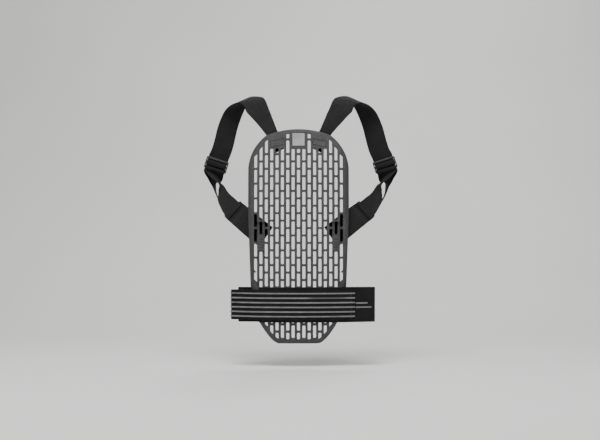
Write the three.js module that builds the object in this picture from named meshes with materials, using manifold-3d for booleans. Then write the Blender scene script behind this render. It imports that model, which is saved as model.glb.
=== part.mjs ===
// A back protector for sport: a slotted foam plate worn between the shoulders and the waist, with two
// shoulder straps, a slide adjuster on each, and a wide elastic belt whose two wings close over the plate.
// Millimetres, +Z up. The origin is the middle of the plate's inner face, which lies on the wearer's
// back. The outer face looks along -Y, the wearer is on the +Y side and the wearer's right is +X.

import * as THREE from 'three';
import { mergeVertices } from 'three/addons/utils/BufferGeometryUtils.js';
import Module from 'manifold-3d';

const wasm = await Module();
wasm.setup();

// Foam plate
const PLATE_HEIGHT = 430;
const PLATE_WIDTH = 202;
const PLATE_DEPTH = 15;
const RIM_DEPTH = 7;
const BEVEL_WIDTH = 7;
const INNER_ROUND = 1.2;
const SIDE_SAG = 12;
const TOP_SAG = 22;
const BOTTOM_SAG = 12;
const TOP_SAG_FROM = 20;
const BOTTOM_SAG_FROM = -60;

// Slots through the foam
const SLOT_COLUMNS = 17;
const SLOT_PITCH = 10.72;
const SLOT_WIDTH = 5.8;
const ROW_PITCH = 44.4;
const BRIDGE = 5;
const FIELD_MARGIN = 8.5;
const SHORTEST_SLOT = 10;
const FIRST_BRIDGE_UP = 164.3;
const FOAM_AROUND_PIECES = 3.5;

// Badge, two marking pads and two ribbed pads in the foam
const BADGE_UP = 193.5;
const BADGE_WIDTH = 25.5;
const BADGE_HEIGHT = 26.5;
const BADGE_DEPTH = 1.6;
const BADGE_POCKET = 1.5;
const STUD_SIZE = 2.6;
const STUD_HEIGHT = 0.7;
const STUD_COLUMNS = 4;
const STUD_ROWS = 5;
const STUD_FIELD = 0.86;
const MARKING_OUT = 42;
const MARKING_UP = 187;
const MARKING_WIDTH = 27;
const MARKING_HEIGHT = 12;
const MARKING_DEPTH = 1.4;
const MARKING_POCKET = 1.5;
const MARKING_TILT = 11.8;
const MARKING_RIBS = 5;
const MARKING_RIB_FIELD = 21.6;
const MARKING_RIB_WIDTH = 1.6;
const MARKING_RIB_HEIGHT = 6;
const CHANNEL_OUT = 75;
const CHANNEL_WIDTH = 15.5;
const CHANNEL_DEPTH = 3;
const CHANNEL_TOP = 28;
const CHANNEL_BOTTOM = -98.7;
const PAD_TOP = 0;
const PAD_HEIGHT = 30;
const PAD_STAND = 0.6;
const PAD_RIBS = 5;
const PAD_RIB_LENGTH = 12;
const PAD_RIB_WIDTH = 2.4;

// Straps and slide adjusters
const WEBBING = 1.6;
const STRAP_WIDTH = 42;
const SIDE_STRAP_WIDTH = 48;
const STRAP_OUT = 55;
const STRAP_SEWN_OUT = 36;
const STRAP_SEWN_UP = 172;
const STRAP_SEWN_WIDTH = 24.4;
const STRAP_SEWN_ACROSS = { out: 0.89, up: -0.45 };
const STRAP_LEAVES_IN = 5;
const SHOULDER_RISE = 63;
const ADJUSTER_DROP = 131;
const RIGHT_LOOP_REACH = 180;
const LEFT_LOOP_REACH = 171;
const LOOP_DEPTH = 118;
const TAIL_DROP = 60;
const SIDE_ANCHOR_UP = 14;
const SIDE_SEWN_IN = 36;
const SIDE_SEWN_RISE = 8;
const SIDE_SEWN_FALL = 24;
const SIDE_SEWN_ACROSS = { out: -0.55, up: 0.8 };
const SIDE_LEAVES_IN = 6;
const SIDE_EDGE_OUT = 2;
const SIDE_EDGE_RISE = 12;
const LAP = 14;
const LAP_AT = 0.64;
const FRAME_WIDTH = 48;
const FRAME_HEIGHT = 25;
const FRAME_THICK = 3.2;
const FRAME_BAR = 4;
const FRAME_SIDE = 2.6;
const FRAME_CORNER = 3.2;
const FRAME_HOLE_CORNER = 1;
const FRAME_TILT = 18;

// Belt
const BELT_UP = -137;
const BAND_HEIGHT = 70;
const WING_HEIGHT = 60;
const ELASTIC = 1.8;
const RIGHT_FOLD_OUT = 154;
const LEFT_FOLD_OUT = -136;
const FOLD_DEPTH = 16;
const FOLD_RADIUS = 4;
const FRONT_LEAVES_IN = 21;
const BACK_LEAVES_IN = 6;
const RIGHT_WING_END = -79;
const BAND_END = -121;
const WING_SEWN_END = -80;
const WING_FREE_END = 112;
const GRIP_STRIPES = 6;
const GRIP_PITCH = 9.2;
const GRIP_WIDTH = 3;
const GRIP_THICK = 0.7;
const GRIP_BACK_END = -125;
const BAND_STRIPE_GAP = 2;
const BAND_STRIPES = [
  { up: 3.3, length: 24 },
  { up: -5.1, length: 32 },
];

const CLEARANCE = 0.3;
const LONGEST_EDGE = 45;
const BELT_STEP = 18;
const BEYOND = 2;
const PLAN_MITRE = 3.3;
const CLOTH_MITRE = 1.4;
const SAME_POINT = 1e-4;
const HALF_WIDTH = PLATE_WIDTH / 2;
const HALF_HEIGHT = PLATE_HEIGHT / 2;

// Half outline of the plate from the top middle down the right side. Out is a share of half the width,
// up is a share of half the height, and bow is the rise of the arc to the next point over its length.
const OUTLINE = [
  { out: 0, up: 1, bow: 0.046 },
  { out: 0.634, up: 0.944, bow: 0.107 },
  { out: 1, up: 0.642, bow: 0 },
  { out: 1, up: 0.242, bow: 0 },
  { out: 0.95, up: -0.456, bow: 0 },
  { out: 0.772, up: -0.8, bow: 0.03 },
  { out: 0.554, up: -0.949, bow: 0.05 },
  { out: 0.406, up: -1, bow: 0 },
];
const ARC_STEPS = 5;

// Course of a shoulder strap after it leaves the plate. Out, deep and rise are shares of the way from
// the plate's edge to the adjuster, to the adjuster's depth and to the crest, and fall is a share of the
// drop from the crest to the adjuster. Width is a share of the strap's width. Ax, ay and az point across.
const SHOULDER_COURSE = [
  { out: 0.1, deep: 0.11, rise: 0.307, fall: 0, width: 0.76, ax: 0.86, ay: -0.05, az: -0.5 },
  { out: 0.194, deep: 0.241, rise: 0.574, fall: 0, width: 0.97, ax: 0.83, ay: -0.3, az: -0.47 },
  { out: 0.268, deep: 0.349, rise: 0.779, fall: 0, width: 1.1, ax: 0.87, ay: -0.15, az: -0.47 },
  { out: 0.333, deep: 0.501, rise: 0.965, fall: 0, width: 1.06, ax: 0.9, ay: -0.25, az: -0.36 },
  { out: 0.514, deep: 0.696, rise: 1.015, fall: 0, width: 1, ax: 0.64, ay: -0.68, az: -0.35 },
  { out: 0.617, deep: 0.837, rise: 1, fall: 0.079, width: 1, ax: 0.9, ay: -0.4, az: -0.14 },
  { out: 0.698, deep: 0.913, rise: 1, fall: 0.19, width: 1, ax: 0.98, ay: -0.15, az: -0.05 },
  { out: 0.797, deep: 0.978, rise: 1, fall: 0.415, width: 1, ax: 1, ay: 0, az: 0.03 },
  { out: 0.847, deep: 1, rise: 1, fall: 0.595, width: 1, ax: 0.99, ay: 0, az: 0.08 },
  { out: 0.902, deep: 1.02, rise: 1, fall: 0.766, width: 1, ax: 0.97, ay: 0, az: 0.18 },
];

// How the strap threads the adjuster, in the frame's own directions: up along the frame and front
// towards the outer side, in shares of half the frame's height and of the frame's thickness.
const SHOULDER_THREAD = [
  { up: 1.48, front: -0.875 },
  { up: 0.84, front: -0.875 },
  { up: 0.64, front: -0.875 },
  { up: 0.208, front: 0.875 },
  { up: 0, front: 0.9 },
  { up: -0.192, front: 0.875 },
  { up: -0.312, front: 0.625 },
  { up: -0.34, front: 0.19 },
  { up: -0.34, front: -0.81 },
  { up: -0.416, front: -1.375 },
  { up: -0.56, front: -1.5 },
  { up: -0.84, front: -1.5 },
];

// The strap's loose tail below the adjuster. Out, deep and down are shares of the tail's drop, from the
// lower bar.
const TAIL_COURSE = [
  { out: 0.1, deep: 0.133, down: 0.16, ax: 0.8, ay: -0.45, az: 0.36 },
  { out: 0.117, deep: 0.233, down: 0.38, ax: 0.35, ay: -0.9, az: 0.25 },
  { out: 0.033, deep: 0.3, down: 0.68, ax: 0.12, ay: -0.95, az: 0.25 },
  { out: -0.083, deep: 0.367, down: 1, ax: 0.08, ay: -0.96, az: 0.25 },
];

// How the adjuster strap loops the lower bar, as SHOULDER_THREAD.
const LOOP_THREAD = [
  { up: -1.34, front: 0.3 },
  { up: -1.22, front: 0.45 },
  { up: -1.06, front: 0.875 },
  { up: -0.66, front: 0.875 },
  { up: -0.6, front: 0.625 },
  { up: -0.584, front: 0.31 },
  { up: -0.584, front: -0.31 },
  { up: -0.6, front: -0.625 },
  { up: -0.66, front: -0.875 },
  { up: -1.06, front: -0.875 },
  { up: -1.22, front: -0.5 },
  { up: -1.36, front: -0.3 },
];

// Common course of the adjuster strap and the side strap, from the adjuster to the plate's edge. Out and
// deep are shares of the way from the plate's edge to the adjuster's lower bar, down is a share of the
// drop to the side anchor, and width is a share of the adjuster strap's width.
const LOWER_COURSE = [
  { out: 0.966, deep: 0.99, down: 0.074, width: 0.86, ax: 0.85, ay: -0.4, az: 0.33 },
  { out: 0.908, deep: 0.943, down: 0.16, width: 0.8, ax: 0.42, ay: -0.88, az: 0.2 },
  { out: 0.786, deep: 0.819, down: 0.296, width: 0.85, ax: -0.3, ay: -0.92, az: 0.24 },
  { out: 0.713, deep: 0.667, down: 0.475, width: 0.95, ax: -0.58, ay: -0.72, az: 0.36 },
  { out: 0.582, deep: 0.496, down: 0.604, width: 1, ax: -0.66, ay: -0.56, az: 0.5 },
  { out: 0.413, deep: 0.305, down: 0.743, width: 1, ax: -0.68, ay: -0.3, az: 0.66 },
  { out: 0.12, deep: 0.077, down: 0.906, width: 1, ax: -0.55, ay: -0.25, az: 0.8 },
];

const foam = () => new THREE.MeshStandardMaterial({ color: 0x3d3d3e, roughness: 0.85, metalness: 0 });
const webbing = () => new THREE.MeshStandardMaterial({ color: 0x1e1e1f, roughness: 0.8, metalness: 0 });
const elastic = () => new THREE.MeshStandardMaterial({ color: 0x1a1a1b, roughness: 0.9, metalness: 0 });
const silicone = () => new THREE.MeshStandardMaterial({ color: 0x646466, roughness: 0.5, metalness: 0 });
const badge = () => new THREE.MeshStandardMaterial({ color: 0x949494, roughness: 0.55, metalness: 0 });
const plastic = () => new THREE.MeshStandardMaterial({ color: 0x232324, roughness: 0.45, metalness: 0 });

// Distance of the plate's inner face behind its middle: the long sides and both ends curve towards
// the wearer.
function sag(out, up) {
  const side = SIDE_SAG * (out / HALF_WIDTH) ** 2;
  const aboveTop = Math.max(0, up - TOP_SAG_FROM) / (HALF_HEIGHT - TOP_SAG_FROM);
  const belowBottom = Math.max(0, BOTTOM_SAG_FROM - up) / (HALF_HEIGHT + BOTTOM_SAG_FROM);
  return side + TOP_SAG * aboveTop ** 2 + BOTTOM_SAG * belowBottom ** 2;
}

function sagSlopes(out, up) {
  return {
    out: (sag(out + 0.5, up) - sag(out - 0.5, up)),
    up: (sag(out, up + 0.5) - sag(out, up - 0.5)),
  };
}

// The whole outline as points, drawn in by a given distance all round.
function outlinePoints(inset) {
  const half = [];
  OUTLINE.forEach((row, index) => {
    const from = new THREE.Vector2(row.out * HALF_WIDTH, row.up * HALF_HEIGHT);
    half.push(from);
    const next = OUTLINE[index + 1];
    if (!next || row.bow === 0) return;
    const along = new THREE.Vector2(next.out * HALF_WIDTH, next.up * HALF_HEIGHT).sub(from);
    const outward = new THREE.Vector2(-along.y, along.x);
    for (let step = 1; step < ARC_STEPS; step += 1) {
      const share = step / ARC_STEPS;
      const rise = 4 * row.bow * share * (1 - share);
      half.push(from.clone().addScaledVector(along, share).addScaledVector(outward, rise));
    }
  });
  const left = half.slice(1).map((point) => new THREE.Vector2(-point.x, point.y));
  const ring = [...left.reverse(), ...half];
  return offsetLine(ring, inset, true);
}

// A line moved sideways to its right by a given distance, with mitred corners.
function offsetLine(points, distance, closed = false) {
  const count = points.length;
  return points.map((point, index) => {
    const before = points[closed ? (index + count - 1) % count : Math.max(0, index - 1)];
    const after = points[closed ? (index + 1) % count : Math.min(count - 1, index + 1)];
    const into = point.clone().sub(before);
    const outOf = after.clone().sub(point);
    const first = (into.length() > 0 ? into : outOf).clone().normalize();
    const second = (outOf.length() > 0 ? outOf : into).clone().normalize();
    const middle = first.clone().add(second).normalize();
    const stretch = 1 / Math.max(1 / PLAN_MITRE, middle.dot(first));
    return new THREE.Vector2(point.x + middle.y * distance * stretch, point.y - middle.x * distance * stretch);
  });
}

// A closed surface through rings of equally many points, with a flat cap on each end.
function skin(rings) {
  const size = rings[0].length;
  const positions = rings.flat().flatMap((point) => [point.x, point.y, point.z]);
  const index = [];
  for (let ring = 0; ring + 1 < rings.length; ring += 1) {
    for (let side = 0; side < size; side += 1) {
      const a = ring * size + side;
      const b = ring * size + (side + 1) % size;
      index.push(a, b, a + size, b, b + size, a + size);
    }
  }
  const last = (rings.length - 1) * size;
  for (let side = 1; side + 1 < size; side += 1) {
    index.push(0, side + 1, side);
    index.push(last, last + side, last + side + 1);
  }
  const geometry = new THREE.BufferGeometry();
  geometry.setAttribute('position', new THREE.Float32BufferAttribute(positions, 3));
  geometry.setIndex(index);
  return outward(geometry);
}

// The same surface with its faces turned out.
function outward(geometry) {
  if (signedVolume(geometry) < 0) {
    const index = geometry.index.array;
    for (let i = 0; i < index.length; i += 3) [index[i], index[i + 1]] = [index[i + 1], index[i]];
  }
  return geometry;
}

function signedVolume(geometry) {
  const index = geometry.index.array;
  const corner = (i) => new THREE.Vector3().fromBufferAttribute(geometry.attributes.position, index[i]);
  let volume = 0;
  for (let i = 0; i < index.length; i += 3) {
    volume += corner(i).dot(corner(i + 1).cross(corner(i + 2))) / 6;
  }
  return volume;
}

function solid(geometry) {
  const bare = geometry.clone();
  bare.deleteAttribute('normal');
  bare.deleteAttribute('uv');
  const merged = mergeVertices(bare, SAME_POINT);
  return new wasm.Manifold(new wasm.Mesh({
    numProp: 3,
    vertProperties: new Float32Array(merged.attributes.position.array),
    triVerts: new Uint32Array(merged.index.array),
  }));
}

function geometryOf(body) {
  const mesh = body.getMesh();
  const geometry = new THREE.BufferGeometry();
  geometry.setAttribute('position', new THREE.BufferAttribute(new Float32Array(mesh.vertProperties), 3));
  geometry.setIndex([...mesh.triVerts]);
  return geometry;
}

// A flat piece in sheet space: X across, Y up and Z out from the inner face.
function slab(points, from, to) {
  const geometry = new THREE.ExtrudeGeometry(new THREE.Shape(points), { depth: to - from, bevelEnabled: false });
  return geometry.translate(0, 0, from);
}

function rectangle(out, up, width, height, tilt = 0) {
  const corners = [[-1, -1], [1, -1], [1, 1], [-1, 1]];
  const turn = THREE.MathUtils.degToRad(tilt);
  return corners.map(([x, y]) => new THREE.Vector2(x * width / 2, y * height / 2)
    .rotateAround(new THREE.Vector2(), turn)
    .add(new THREE.Vector2(out, up)));
}

// Halves each edge that is too long, in both of its triangles, until none is left.
function splitLongEdges(geometry) {
  const points = [];
  const position = geometry.attributes.position;
  for (let i = 0; i < position.count; i += 1) points.push(new THREE.Vector3().fromBufferAttribute(position, i));
  let triangles = [];
  const index = geometry.index.array;
  for (let i = 0; i < index.length; i += 3) triangles.push([index[i], index[i + 1], index[i + 2]]);
  for (;;) {
    const middles = new Map();
    const middleOf = (a, b) => {
      const key = a < b ? `${a},${b}` : `${b},${a}`;
      if (!middles.has(key)) {
        points.push(points[a].clone().add(points[b]).multiplyScalar(0.5));
        middles.set(key, points.length - 1);
      }
      return middles.get(key);
    };
    let split = 0;
    const next = [];
    for (const triangle of triangles) {
      const lengths = triangle.map((a, side) => points[a].distanceTo(points[triangle[(side + 1) % 3]]));
      const longest = lengths.indexOf(Math.max(...lengths));
      const [a, b, c] = [0, 1, 2].map((step) => triangle[(longest + step) % 3]);
      const tooLong = [0, 1, 2].map((step) => lengths[(longest + step) % 3] > LONGEST_EDGE);
      if (!tooLong[0]) {
        next.push(triangle);
        continue;
      }
      split += 1;
      const ab = middleOf(a, b);
      const bc = tooLong[1] ? middleOf(b, c) : null;
      const ca = tooLong[2] ? middleOf(c, a) : null;
      if (bc !== null) next.push([ab, b, bc], [ab, bc, c]);
      else next.push([ab, b, c]);
      if (ca !== null) next.push([ab, c, ca], [ab, ca, a]);
      else next.push([ab, c, a]);
    }
    triangles = next;
    if (split === 0) break;
  }
  const result = new THREE.BufferGeometry();
  result.setAttribute('position', new THREE.Float32BufferAttribute(points.flatMap((p) => [p.x, p.y, p.z]), 3));
  result.setIndex(triangles.flat());
  return result;
}

// Takes a piece from sheet space to its place on the bowed plate.
function bend(body) {
  const geometry = splitLongEdges(geometryOf(body));
  const position = geometry.attributes.position;
  for (let i = 0; i < position.count; i += 1) {
    const [out, up, height] = [position.getX(i), position.getY(i), position.getZ(i)];
    position.setXYZ(i, out, sag(out, up) - height, up);
  }
  return geometry;
}

function mirrored(geometry) {
  const copy = geometry.clone();
  const position = copy.attributes.position;
  for (let i = 0; i < position.count; i += 1) position.setX(i, -position.getX(i));
  return outward(copy);
}

// A band of cloth through its stations, each with a middle point, a direction across and a width.
// The thickness is kept through the bends.
function ribbon(stations, thickness) {
  const rings = stations.map((station, index) => {
    const before = stations[Math.max(0, index - 1)].point;
    const after = stations[Math.min(stations.length - 1, index + 1)].point;
    const into = station.point.clone().sub(before);
    const outOf = after.clone().sub(station.point);
    const first = (into.length() > 0 ? into : outOf).clone().normalize();
    const second = (outOf.length() > 0 ? outOf : into).clone().normalize();
    const along = first.clone().add(second).normalize();
    const across = station.across.clone().normalize();
    const face = along.clone().cross(across).normalize();
    const stretch = 1 / Math.max(1 / CLOTH_MITRE, along.dot(first));
    const half = station.width / 2;
    const lift = (thickness / 2) * stretch;
    return [[-1, -1], [1, -1], [1, 1], [-1, 1]].map(([side, level]) => station.point.clone()
      .addScaledVector(across, side * half)
      .addScaledVector(face, level * lift));
  });
  return skin(rings);
}

// Stations filled in along a smooth curve, so that a long bend has no flat stretches.
function smoothed(stations, steps) {
  const curve = new THREE.CatmullRomCurve3(stations.map((station) => station.point), false, 'centripetal');
  const filled = [];
  stations.forEach((station, index) => {
    const next = stations[index + 1];
    if (!next) {
      filled.push(station);
      return;
    }
    for (let step = 0; step < steps; step += 1) {
      const share = step / steps;
      filled.push({
        point: curve.getPoint((index + share) / (stations.length - 1)),
        across: station.across.clone().lerp(next.across, share),
        width: THREE.MathUtils.lerp(station.width, next.width, share),
      });
    }
  });
  return filled;
}

function plateSolid() {
  const ring = (inset, height) => outlinePoints(inset).map((point) => new THREE.Vector3(point.x, point.y, height));
  return solid(skin([
    ring(INNER_ROUND, 0),
    ring(0, INNER_ROUND),
    ring(0, RIM_DEPTH),
    ring(BEVEL_WIDTH, PLATE_DEPTH),
  ]));
}

// Upright stretches of foam that stay whole, each as a box across and up the sheet.
function wholeFoam() {
  const margin = FOAM_AROUND_PIECES;
  const beltHalf = BAND_HEIGHT / 2 - margin;
  const pockets = [{ out: 0, up: BADGE_UP, wide: BADGE_WIDTH / 2, tall: BADGE_HEIGHT / 2 }];
  const tiltRise = MARKING_WIDTH / 2 * Math.sin(THREE.MathUtils.degToRad(MARKING_TILT));
  const markingTall = MARKING_HEIGHT / 2 + tiltRise;
  for (const side of [-1, 1]) {
    pockets.push({ out: side * MARKING_OUT, up: MARKING_UP, wide: MARKING_WIDTH / 2, tall: markingTall });
    pockets.push({
      out: side * CHANNEL_OUT, up: PAD_TOP - PAD_HEIGHT / 2, wide: SLOT_WIDTH / 2, tall: PAD_HEIGHT / 2,
    });
  }
  const boxes = pockets.map((pocket) => ({
    left: pocket.out - pocket.wide - margin / 2,
    right: pocket.out + pocket.wide + margin / 2,
    low: pocket.up - pocket.tall - margin,
    high: pocket.up + pocket.tall + margin,
  }));
  boxes.push({ left: -HALF_WIDTH, right: HALF_WIDTH, low: BELT_UP - beltHalf, high: BELT_UP + beltHalf });
  return boxes;
}

// The slots of one column as stretches between bridges, without those that whole foam covers.
function slotStretches(out, firstBridge) {
  const boxes = wholeFoam().filter((box) => box.left < out + SLOT_WIDTH / 2 && box.right > out - SLOT_WIDTH / 2);
  const rows = Math.ceil(PLATE_HEIGHT / ROW_PITCH);
  let stretches = [];
  for (let row = -rows; row <= rows; row += 1) {
    const bridge = firstBridge - row * ROW_PITCH;
    stretches.push({ low: bridge - ROW_PITCH + BRIDGE / 2, high: bridge - BRIDGE / 2 });
  }
  for (const box of boxes) {
    stretches = stretches.flatMap((stretch) => {
      if (stretch.high <= box.low || stretch.low >= box.high) return [stretch];
      return [{ low: stretch.low, high: box.low }, { low: box.high, high: stretch.high }];
    });
  }
  return stretches.filter((stretch) => stretch.high - stretch.low >= SHORTEST_SLOT);
}

function slotCutters() {
  const field = solid(slab(outlinePoints(FIELD_MARGIN), -BEYOND, PLATE_DEPTH + BEYOND));
  const cutters = [];
  const middle = (SLOT_COLUMNS - 1) / 2;
  for (let column = -middle; column <= middle; column += 1) {
    const out = column * SLOT_PITCH;
    const firstBridge = FIRST_BRIDGE_UP - (column % 2 === 0 ? 0 : ROW_PITCH / 2);
    for (const stretch of slotStretches(out, firstBridge)) {
      const height = stretch.high - stretch.low;
      const shape = rectangle(out, (stretch.high + stretch.low) / 2, SLOT_WIDTH, height);
      const cut = solid(slab(shape, -2 * BEYOND, PLATE_DEPTH + 2 * BEYOND)).intersect(field);
      if (cut.isEmpty()) continue;
      const box = cut.boundingBox();
      if (box.max[1] - box.min[1] >= SHORTEST_SLOT) cutters.push(cut);
    }
  }
  return cutters;
}

function pocketCutters() {
  const gap = 2 * CLEARANCE;
  const top = PLATE_DEPTH + BEYOND;
  const cutters = [slab(
    rectangle(0, BADGE_UP, BADGE_WIDTH + gap, BADGE_HEIGHT + gap), PLATE_DEPTH - BADGE_POCKET, top,
  )];
  for (const side of [-1, 1]) {
    cutters.push(slab(
      rectangle(side * MARKING_OUT, MARKING_UP, MARKING_WIDTH + gap, MARKING_HEIGHT + gap, -side * MARKING_TILT),
      PLATE_DEPTH - MARKING_POCKET, top,
    ));
    cutters.push(slab(
      rectangle(side * CHANNEL_OUT, (CHANNEL_TOP + CHANNEL_BOTTOM) / 2, CHANNEL_WIDTH, CHANNEL_TOP - CHANNEL_BOTTOM),
      PLATE_DEPTH - CHANNEL_DEPTH, top,
    ));
  }
  return cutters.map(solid);
}

function protectorPlate() {
  return bend([...slotCutters(), ...pocketCutters()].reduce((plate, cutter) => plate.subtract(cutter), plateSolid()));
}

// A small slab with raised bars or studs on it, in sheet space.
function raisedSlab(outline, floor, top, raised, height) {
  return raised.reduce(
    (body, shape) => body.add(solid(slab(shape, top - CLEARANCE, top + height))),
    solid(slab(outline, floor, top)),
  );
}

function badgePlaque() {
  const floor = PLATE_DEPTH - BADGE_POCKET + CLEARANCE;
  const studs = [];
  for (let column = 0; column < STUD_COLUMNS; column += 1) {
    for (let row = 0; row < STUD_ROWS; row += 1) {
      const out = ((column + 0.5) / STUD_COLUMNS - 0.5) * BADGE_WIDTH * STUD_FIELD;
      const up = BADGE_UP + ((row + 0.5) / STUD_ROWS - 0.5) * BADGE_HEIGHT * STUD_FIELD;
      studs.push(rectangle(out, up, STUD_SIZE, STUD_SIZE));
    }
  }
  const outline = rectangle(0, BADGE_UP, BADGE_WIDTH, BADGE_HEIGHT);
  return bend(raisedSlab(outline, floor, floor + BADGE_DEPTH, studs, STUD_HEIGHT));
}

function markingPad() {
  const floor = PLATE_DEPTH - MARKING_POCKET + CLEARANCE;
  const middle = new THREE.Vector2(MARKING_OUT, MARKING_UP);
  const turn = THREE.MathUtils.degToRad(-MARKING_TILT);
  const ribs = [];
  for (let rib = 0; rib < MARKING_RIBS; rib += 1) {
    const out = MARKING_OUT + ((rib + 0.5) / MARKING_RIBS - 0.5) * MARKING_RIB_FIELD;
    const place = new THREE.Vector2(out, MARKING_UP).rotateAround(middle, turn);
    ribs.push(rectangle(place.x, place.y, MARKING_RIB_WIDTH, MARKING_RIB_HEIGHT, -MARKING_TILT));
  }
  const outline = rectangle(MARKING_OUT, MARKING_UP, MARKING_WIDTH, MARKING_HEIGHT, -MARKING_TILT);
  return bend(raisedSlab(outline, floor, floor + MARKING_DEPTH, ribs, STUD_HEIGHT));
}

function channelPad() {
  const floor = PLATE_DEPTH - CHANNEL_DEPTH + CLEARANCE;
  const width = CHANNEL_WIDTH - 2 * CLEARANCE;
  const ribs = [];
  for (let rib = 0; rib < PAD_RIBS; rib += 1) {
    const up = PAD_TOP - ((rib + 0.5) / PAD_RIBS) * PAD_HEIGHT;
    ribs.push(rectangle(CHANNEL_OUT, up, PAD_RIB_LENGTH, PAD_RIB_WIDTH));
  }
  const outline = rectangle(CHANNEL_OUT, PAD_TOP - PAD_HEIGHT / 2, width, PAD_HEIGHT);
  return bend(raisedSlab(outline, floor, PLATE_DEPTH, ribs, PAD_STAND));
}

// A place on the plate's inner face, lifted off it towards the wearer, and a direction that lies on it.
function onInnerFace(out, up, lift) {
  return new THREE.Vector3(out, sag(out, up) + lift, up);
}

function alongInnerFace(out, up, across) {
  const slopes = sagSlopes(out, up);
  return new THREE.Vector3(across.out, slopes.out * across.out + slopes.up * across.up, across.up);
}

const STRAP_EDGE_UP = HALF_HEIGHT - STRAP_LEAVES_IN;
const CREST_UP = HALF_HEIGHT + SHOULDER_RISE;
const ADJUSTER_UP = CREST_UP - ADJUSTER_DROP;
const STRAP_LIFT = 2 * CLEARANCE + WEBBING / 2;
const SIDE_STRAP_BOW = SIDE_SAG * (SIDE_STRAP_WIDTH / PLATE_WIDTH) ** 2;
const adjusterTilt = THREE.MathUtils.degToRad(FRAME_TILT);
const acrossFrame = new THREE.Vector3(Math.cos(adjusterTilt), 0, Math.sin(adjusterTilt));
const upFrame = new THREE.Vector3(-Math.sin(adjusterTilt), 0, Math.cos(adjusterTilt));
const frontFrame = new THREE.Vector3(0, -1, 0);

function threadStations(rows, reach) {
  return rows.map((row) => ({
    point: new THREE.Vector3(reach, LOOP_DEPTH, ADJUSTER_UP)
      .addScaledVector(upFrame, row.up * FRAME_HEIGHT / 2)
      .addScaledVector(frontFrame, row.front * FRAME_THICK),
    across: acrossFrame.clone(),
    width: STRAP_WIDTH,
  }));
}

function shoulderStrap(reach) {
  const edge = onInnerFace(STRAP_OUT, STRAP_EDGE_UP, STRAP_LIFT);
  const sewn = [0, 0.5, 1].map((share) => {
    const out = THREE.MathUtils.lerp(STRAP_SEWN_OUT, STRAP_OUT, share);
    const up = THREE.MathUtils.lerp(STRAP_SEWN_UP, STRAP_EDGE_UP, share);
    return {
      point: onInnerFace(out, up, STRAP_LIFT),
      across: alongInnerFace(out, up, STRAP_SEWN_ACROSS),
      width: STRAP_SEWN_WIDTH,
    };
  });
  const free = SHOULDER_COURSE.map((row) => ({
    point: new THREE.Vector3(
      THREE.MathUtils.lerp(edge.x, reach, row.out),
      THREE.MathUtils.lerp(edge.y, LOOP_DEPTH, row.deep),
      THREE.MathUtils.lerp(edge.z, CREST_UP, row.rise) - row.fall * ADJUSTER_DROP,
    ),
    across: new THREE.Vector3(row.ax, row.ay, row.az),
    width: STRAP_WIDTH * row.width,
  }));
  const thread = threadStations(SHOULDER_THREAD, reach);
  const last = thread[thread.length - 1].point;
  const tail = TAIL_COURSE.map((row) => ({
    point: last.clone().add(new THREE.Vector3(row.out, row.deep, -row.down).multiplyScalar(TAIL_DROP)),
    across: new THREE.Vector3(row.ax, row.ay, row.az),
    width: STRAP_WIDTH,
  }));
  const above = smoothed([...sewn, ...free, thread[0]], 2).slice(0, -1);
  const below = smoothed([thread[thread.length - 1], ...tail], 3).slice(1);
  return ribbon([...above, ...thread, ...below], WEBBING);
}

function slideAdjuster(reach) {
  const outline = (width, height, radius) => {
    const points = [];
    for (const [x, y, start] of [[1, 1, 0], [-1, 1, 90], [-1, -1, 180], [1, -1, 270]]) {
      for (const step of [0, 45, 90]) {
        const turn = THREE.MathUtils.degToRad(start + step);
        points.push(new THREE.Vector2(
          x * (width / 2 - radius) + radius * Math.cos(turn),
          y * (height / 2 - radius) + radius * Math.sin(turn),
        ));
      }
    }
    return points;
  };
  const shape = new THREE.Shape(outline(FRAME_WIDTH, FRAME_HEIGHT, FRAME_CORNER));
  const slotHeight = (FRAME_HEIGHT - 3 * FRAME_BAR) / 2;
  for (const side of [-1, 1]) {
    const hole = outline(FRAME_WIDTH - 2 * FRAME_SIDE, slotHeight, FRAME_HOLE_CORNER);
    const shift = new THREE.Vector2(0, side * (slotHeight + FRAME_BAR) / 2);
    shape.holes.push(new THREE.Path(hole.map((point) => point.add(shift))));
  }
  const geometry = new THREE.ExtrudeGeometry(shape, { depth: FRAME_THICK, bevelEnabled: false });
  geometry.translate(0, 0, -FRAME_THICK / 2);
  const placed = new THREE.Matrix4().makeBasis(acrossFrame, upFrame, frontFrame);
  placed.setPosition(reach, LOOP_DEPTH, ADJUSTER_UP);
  return geometryOf(solid(geometry.applyMatrix4(placed)));
}

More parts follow.
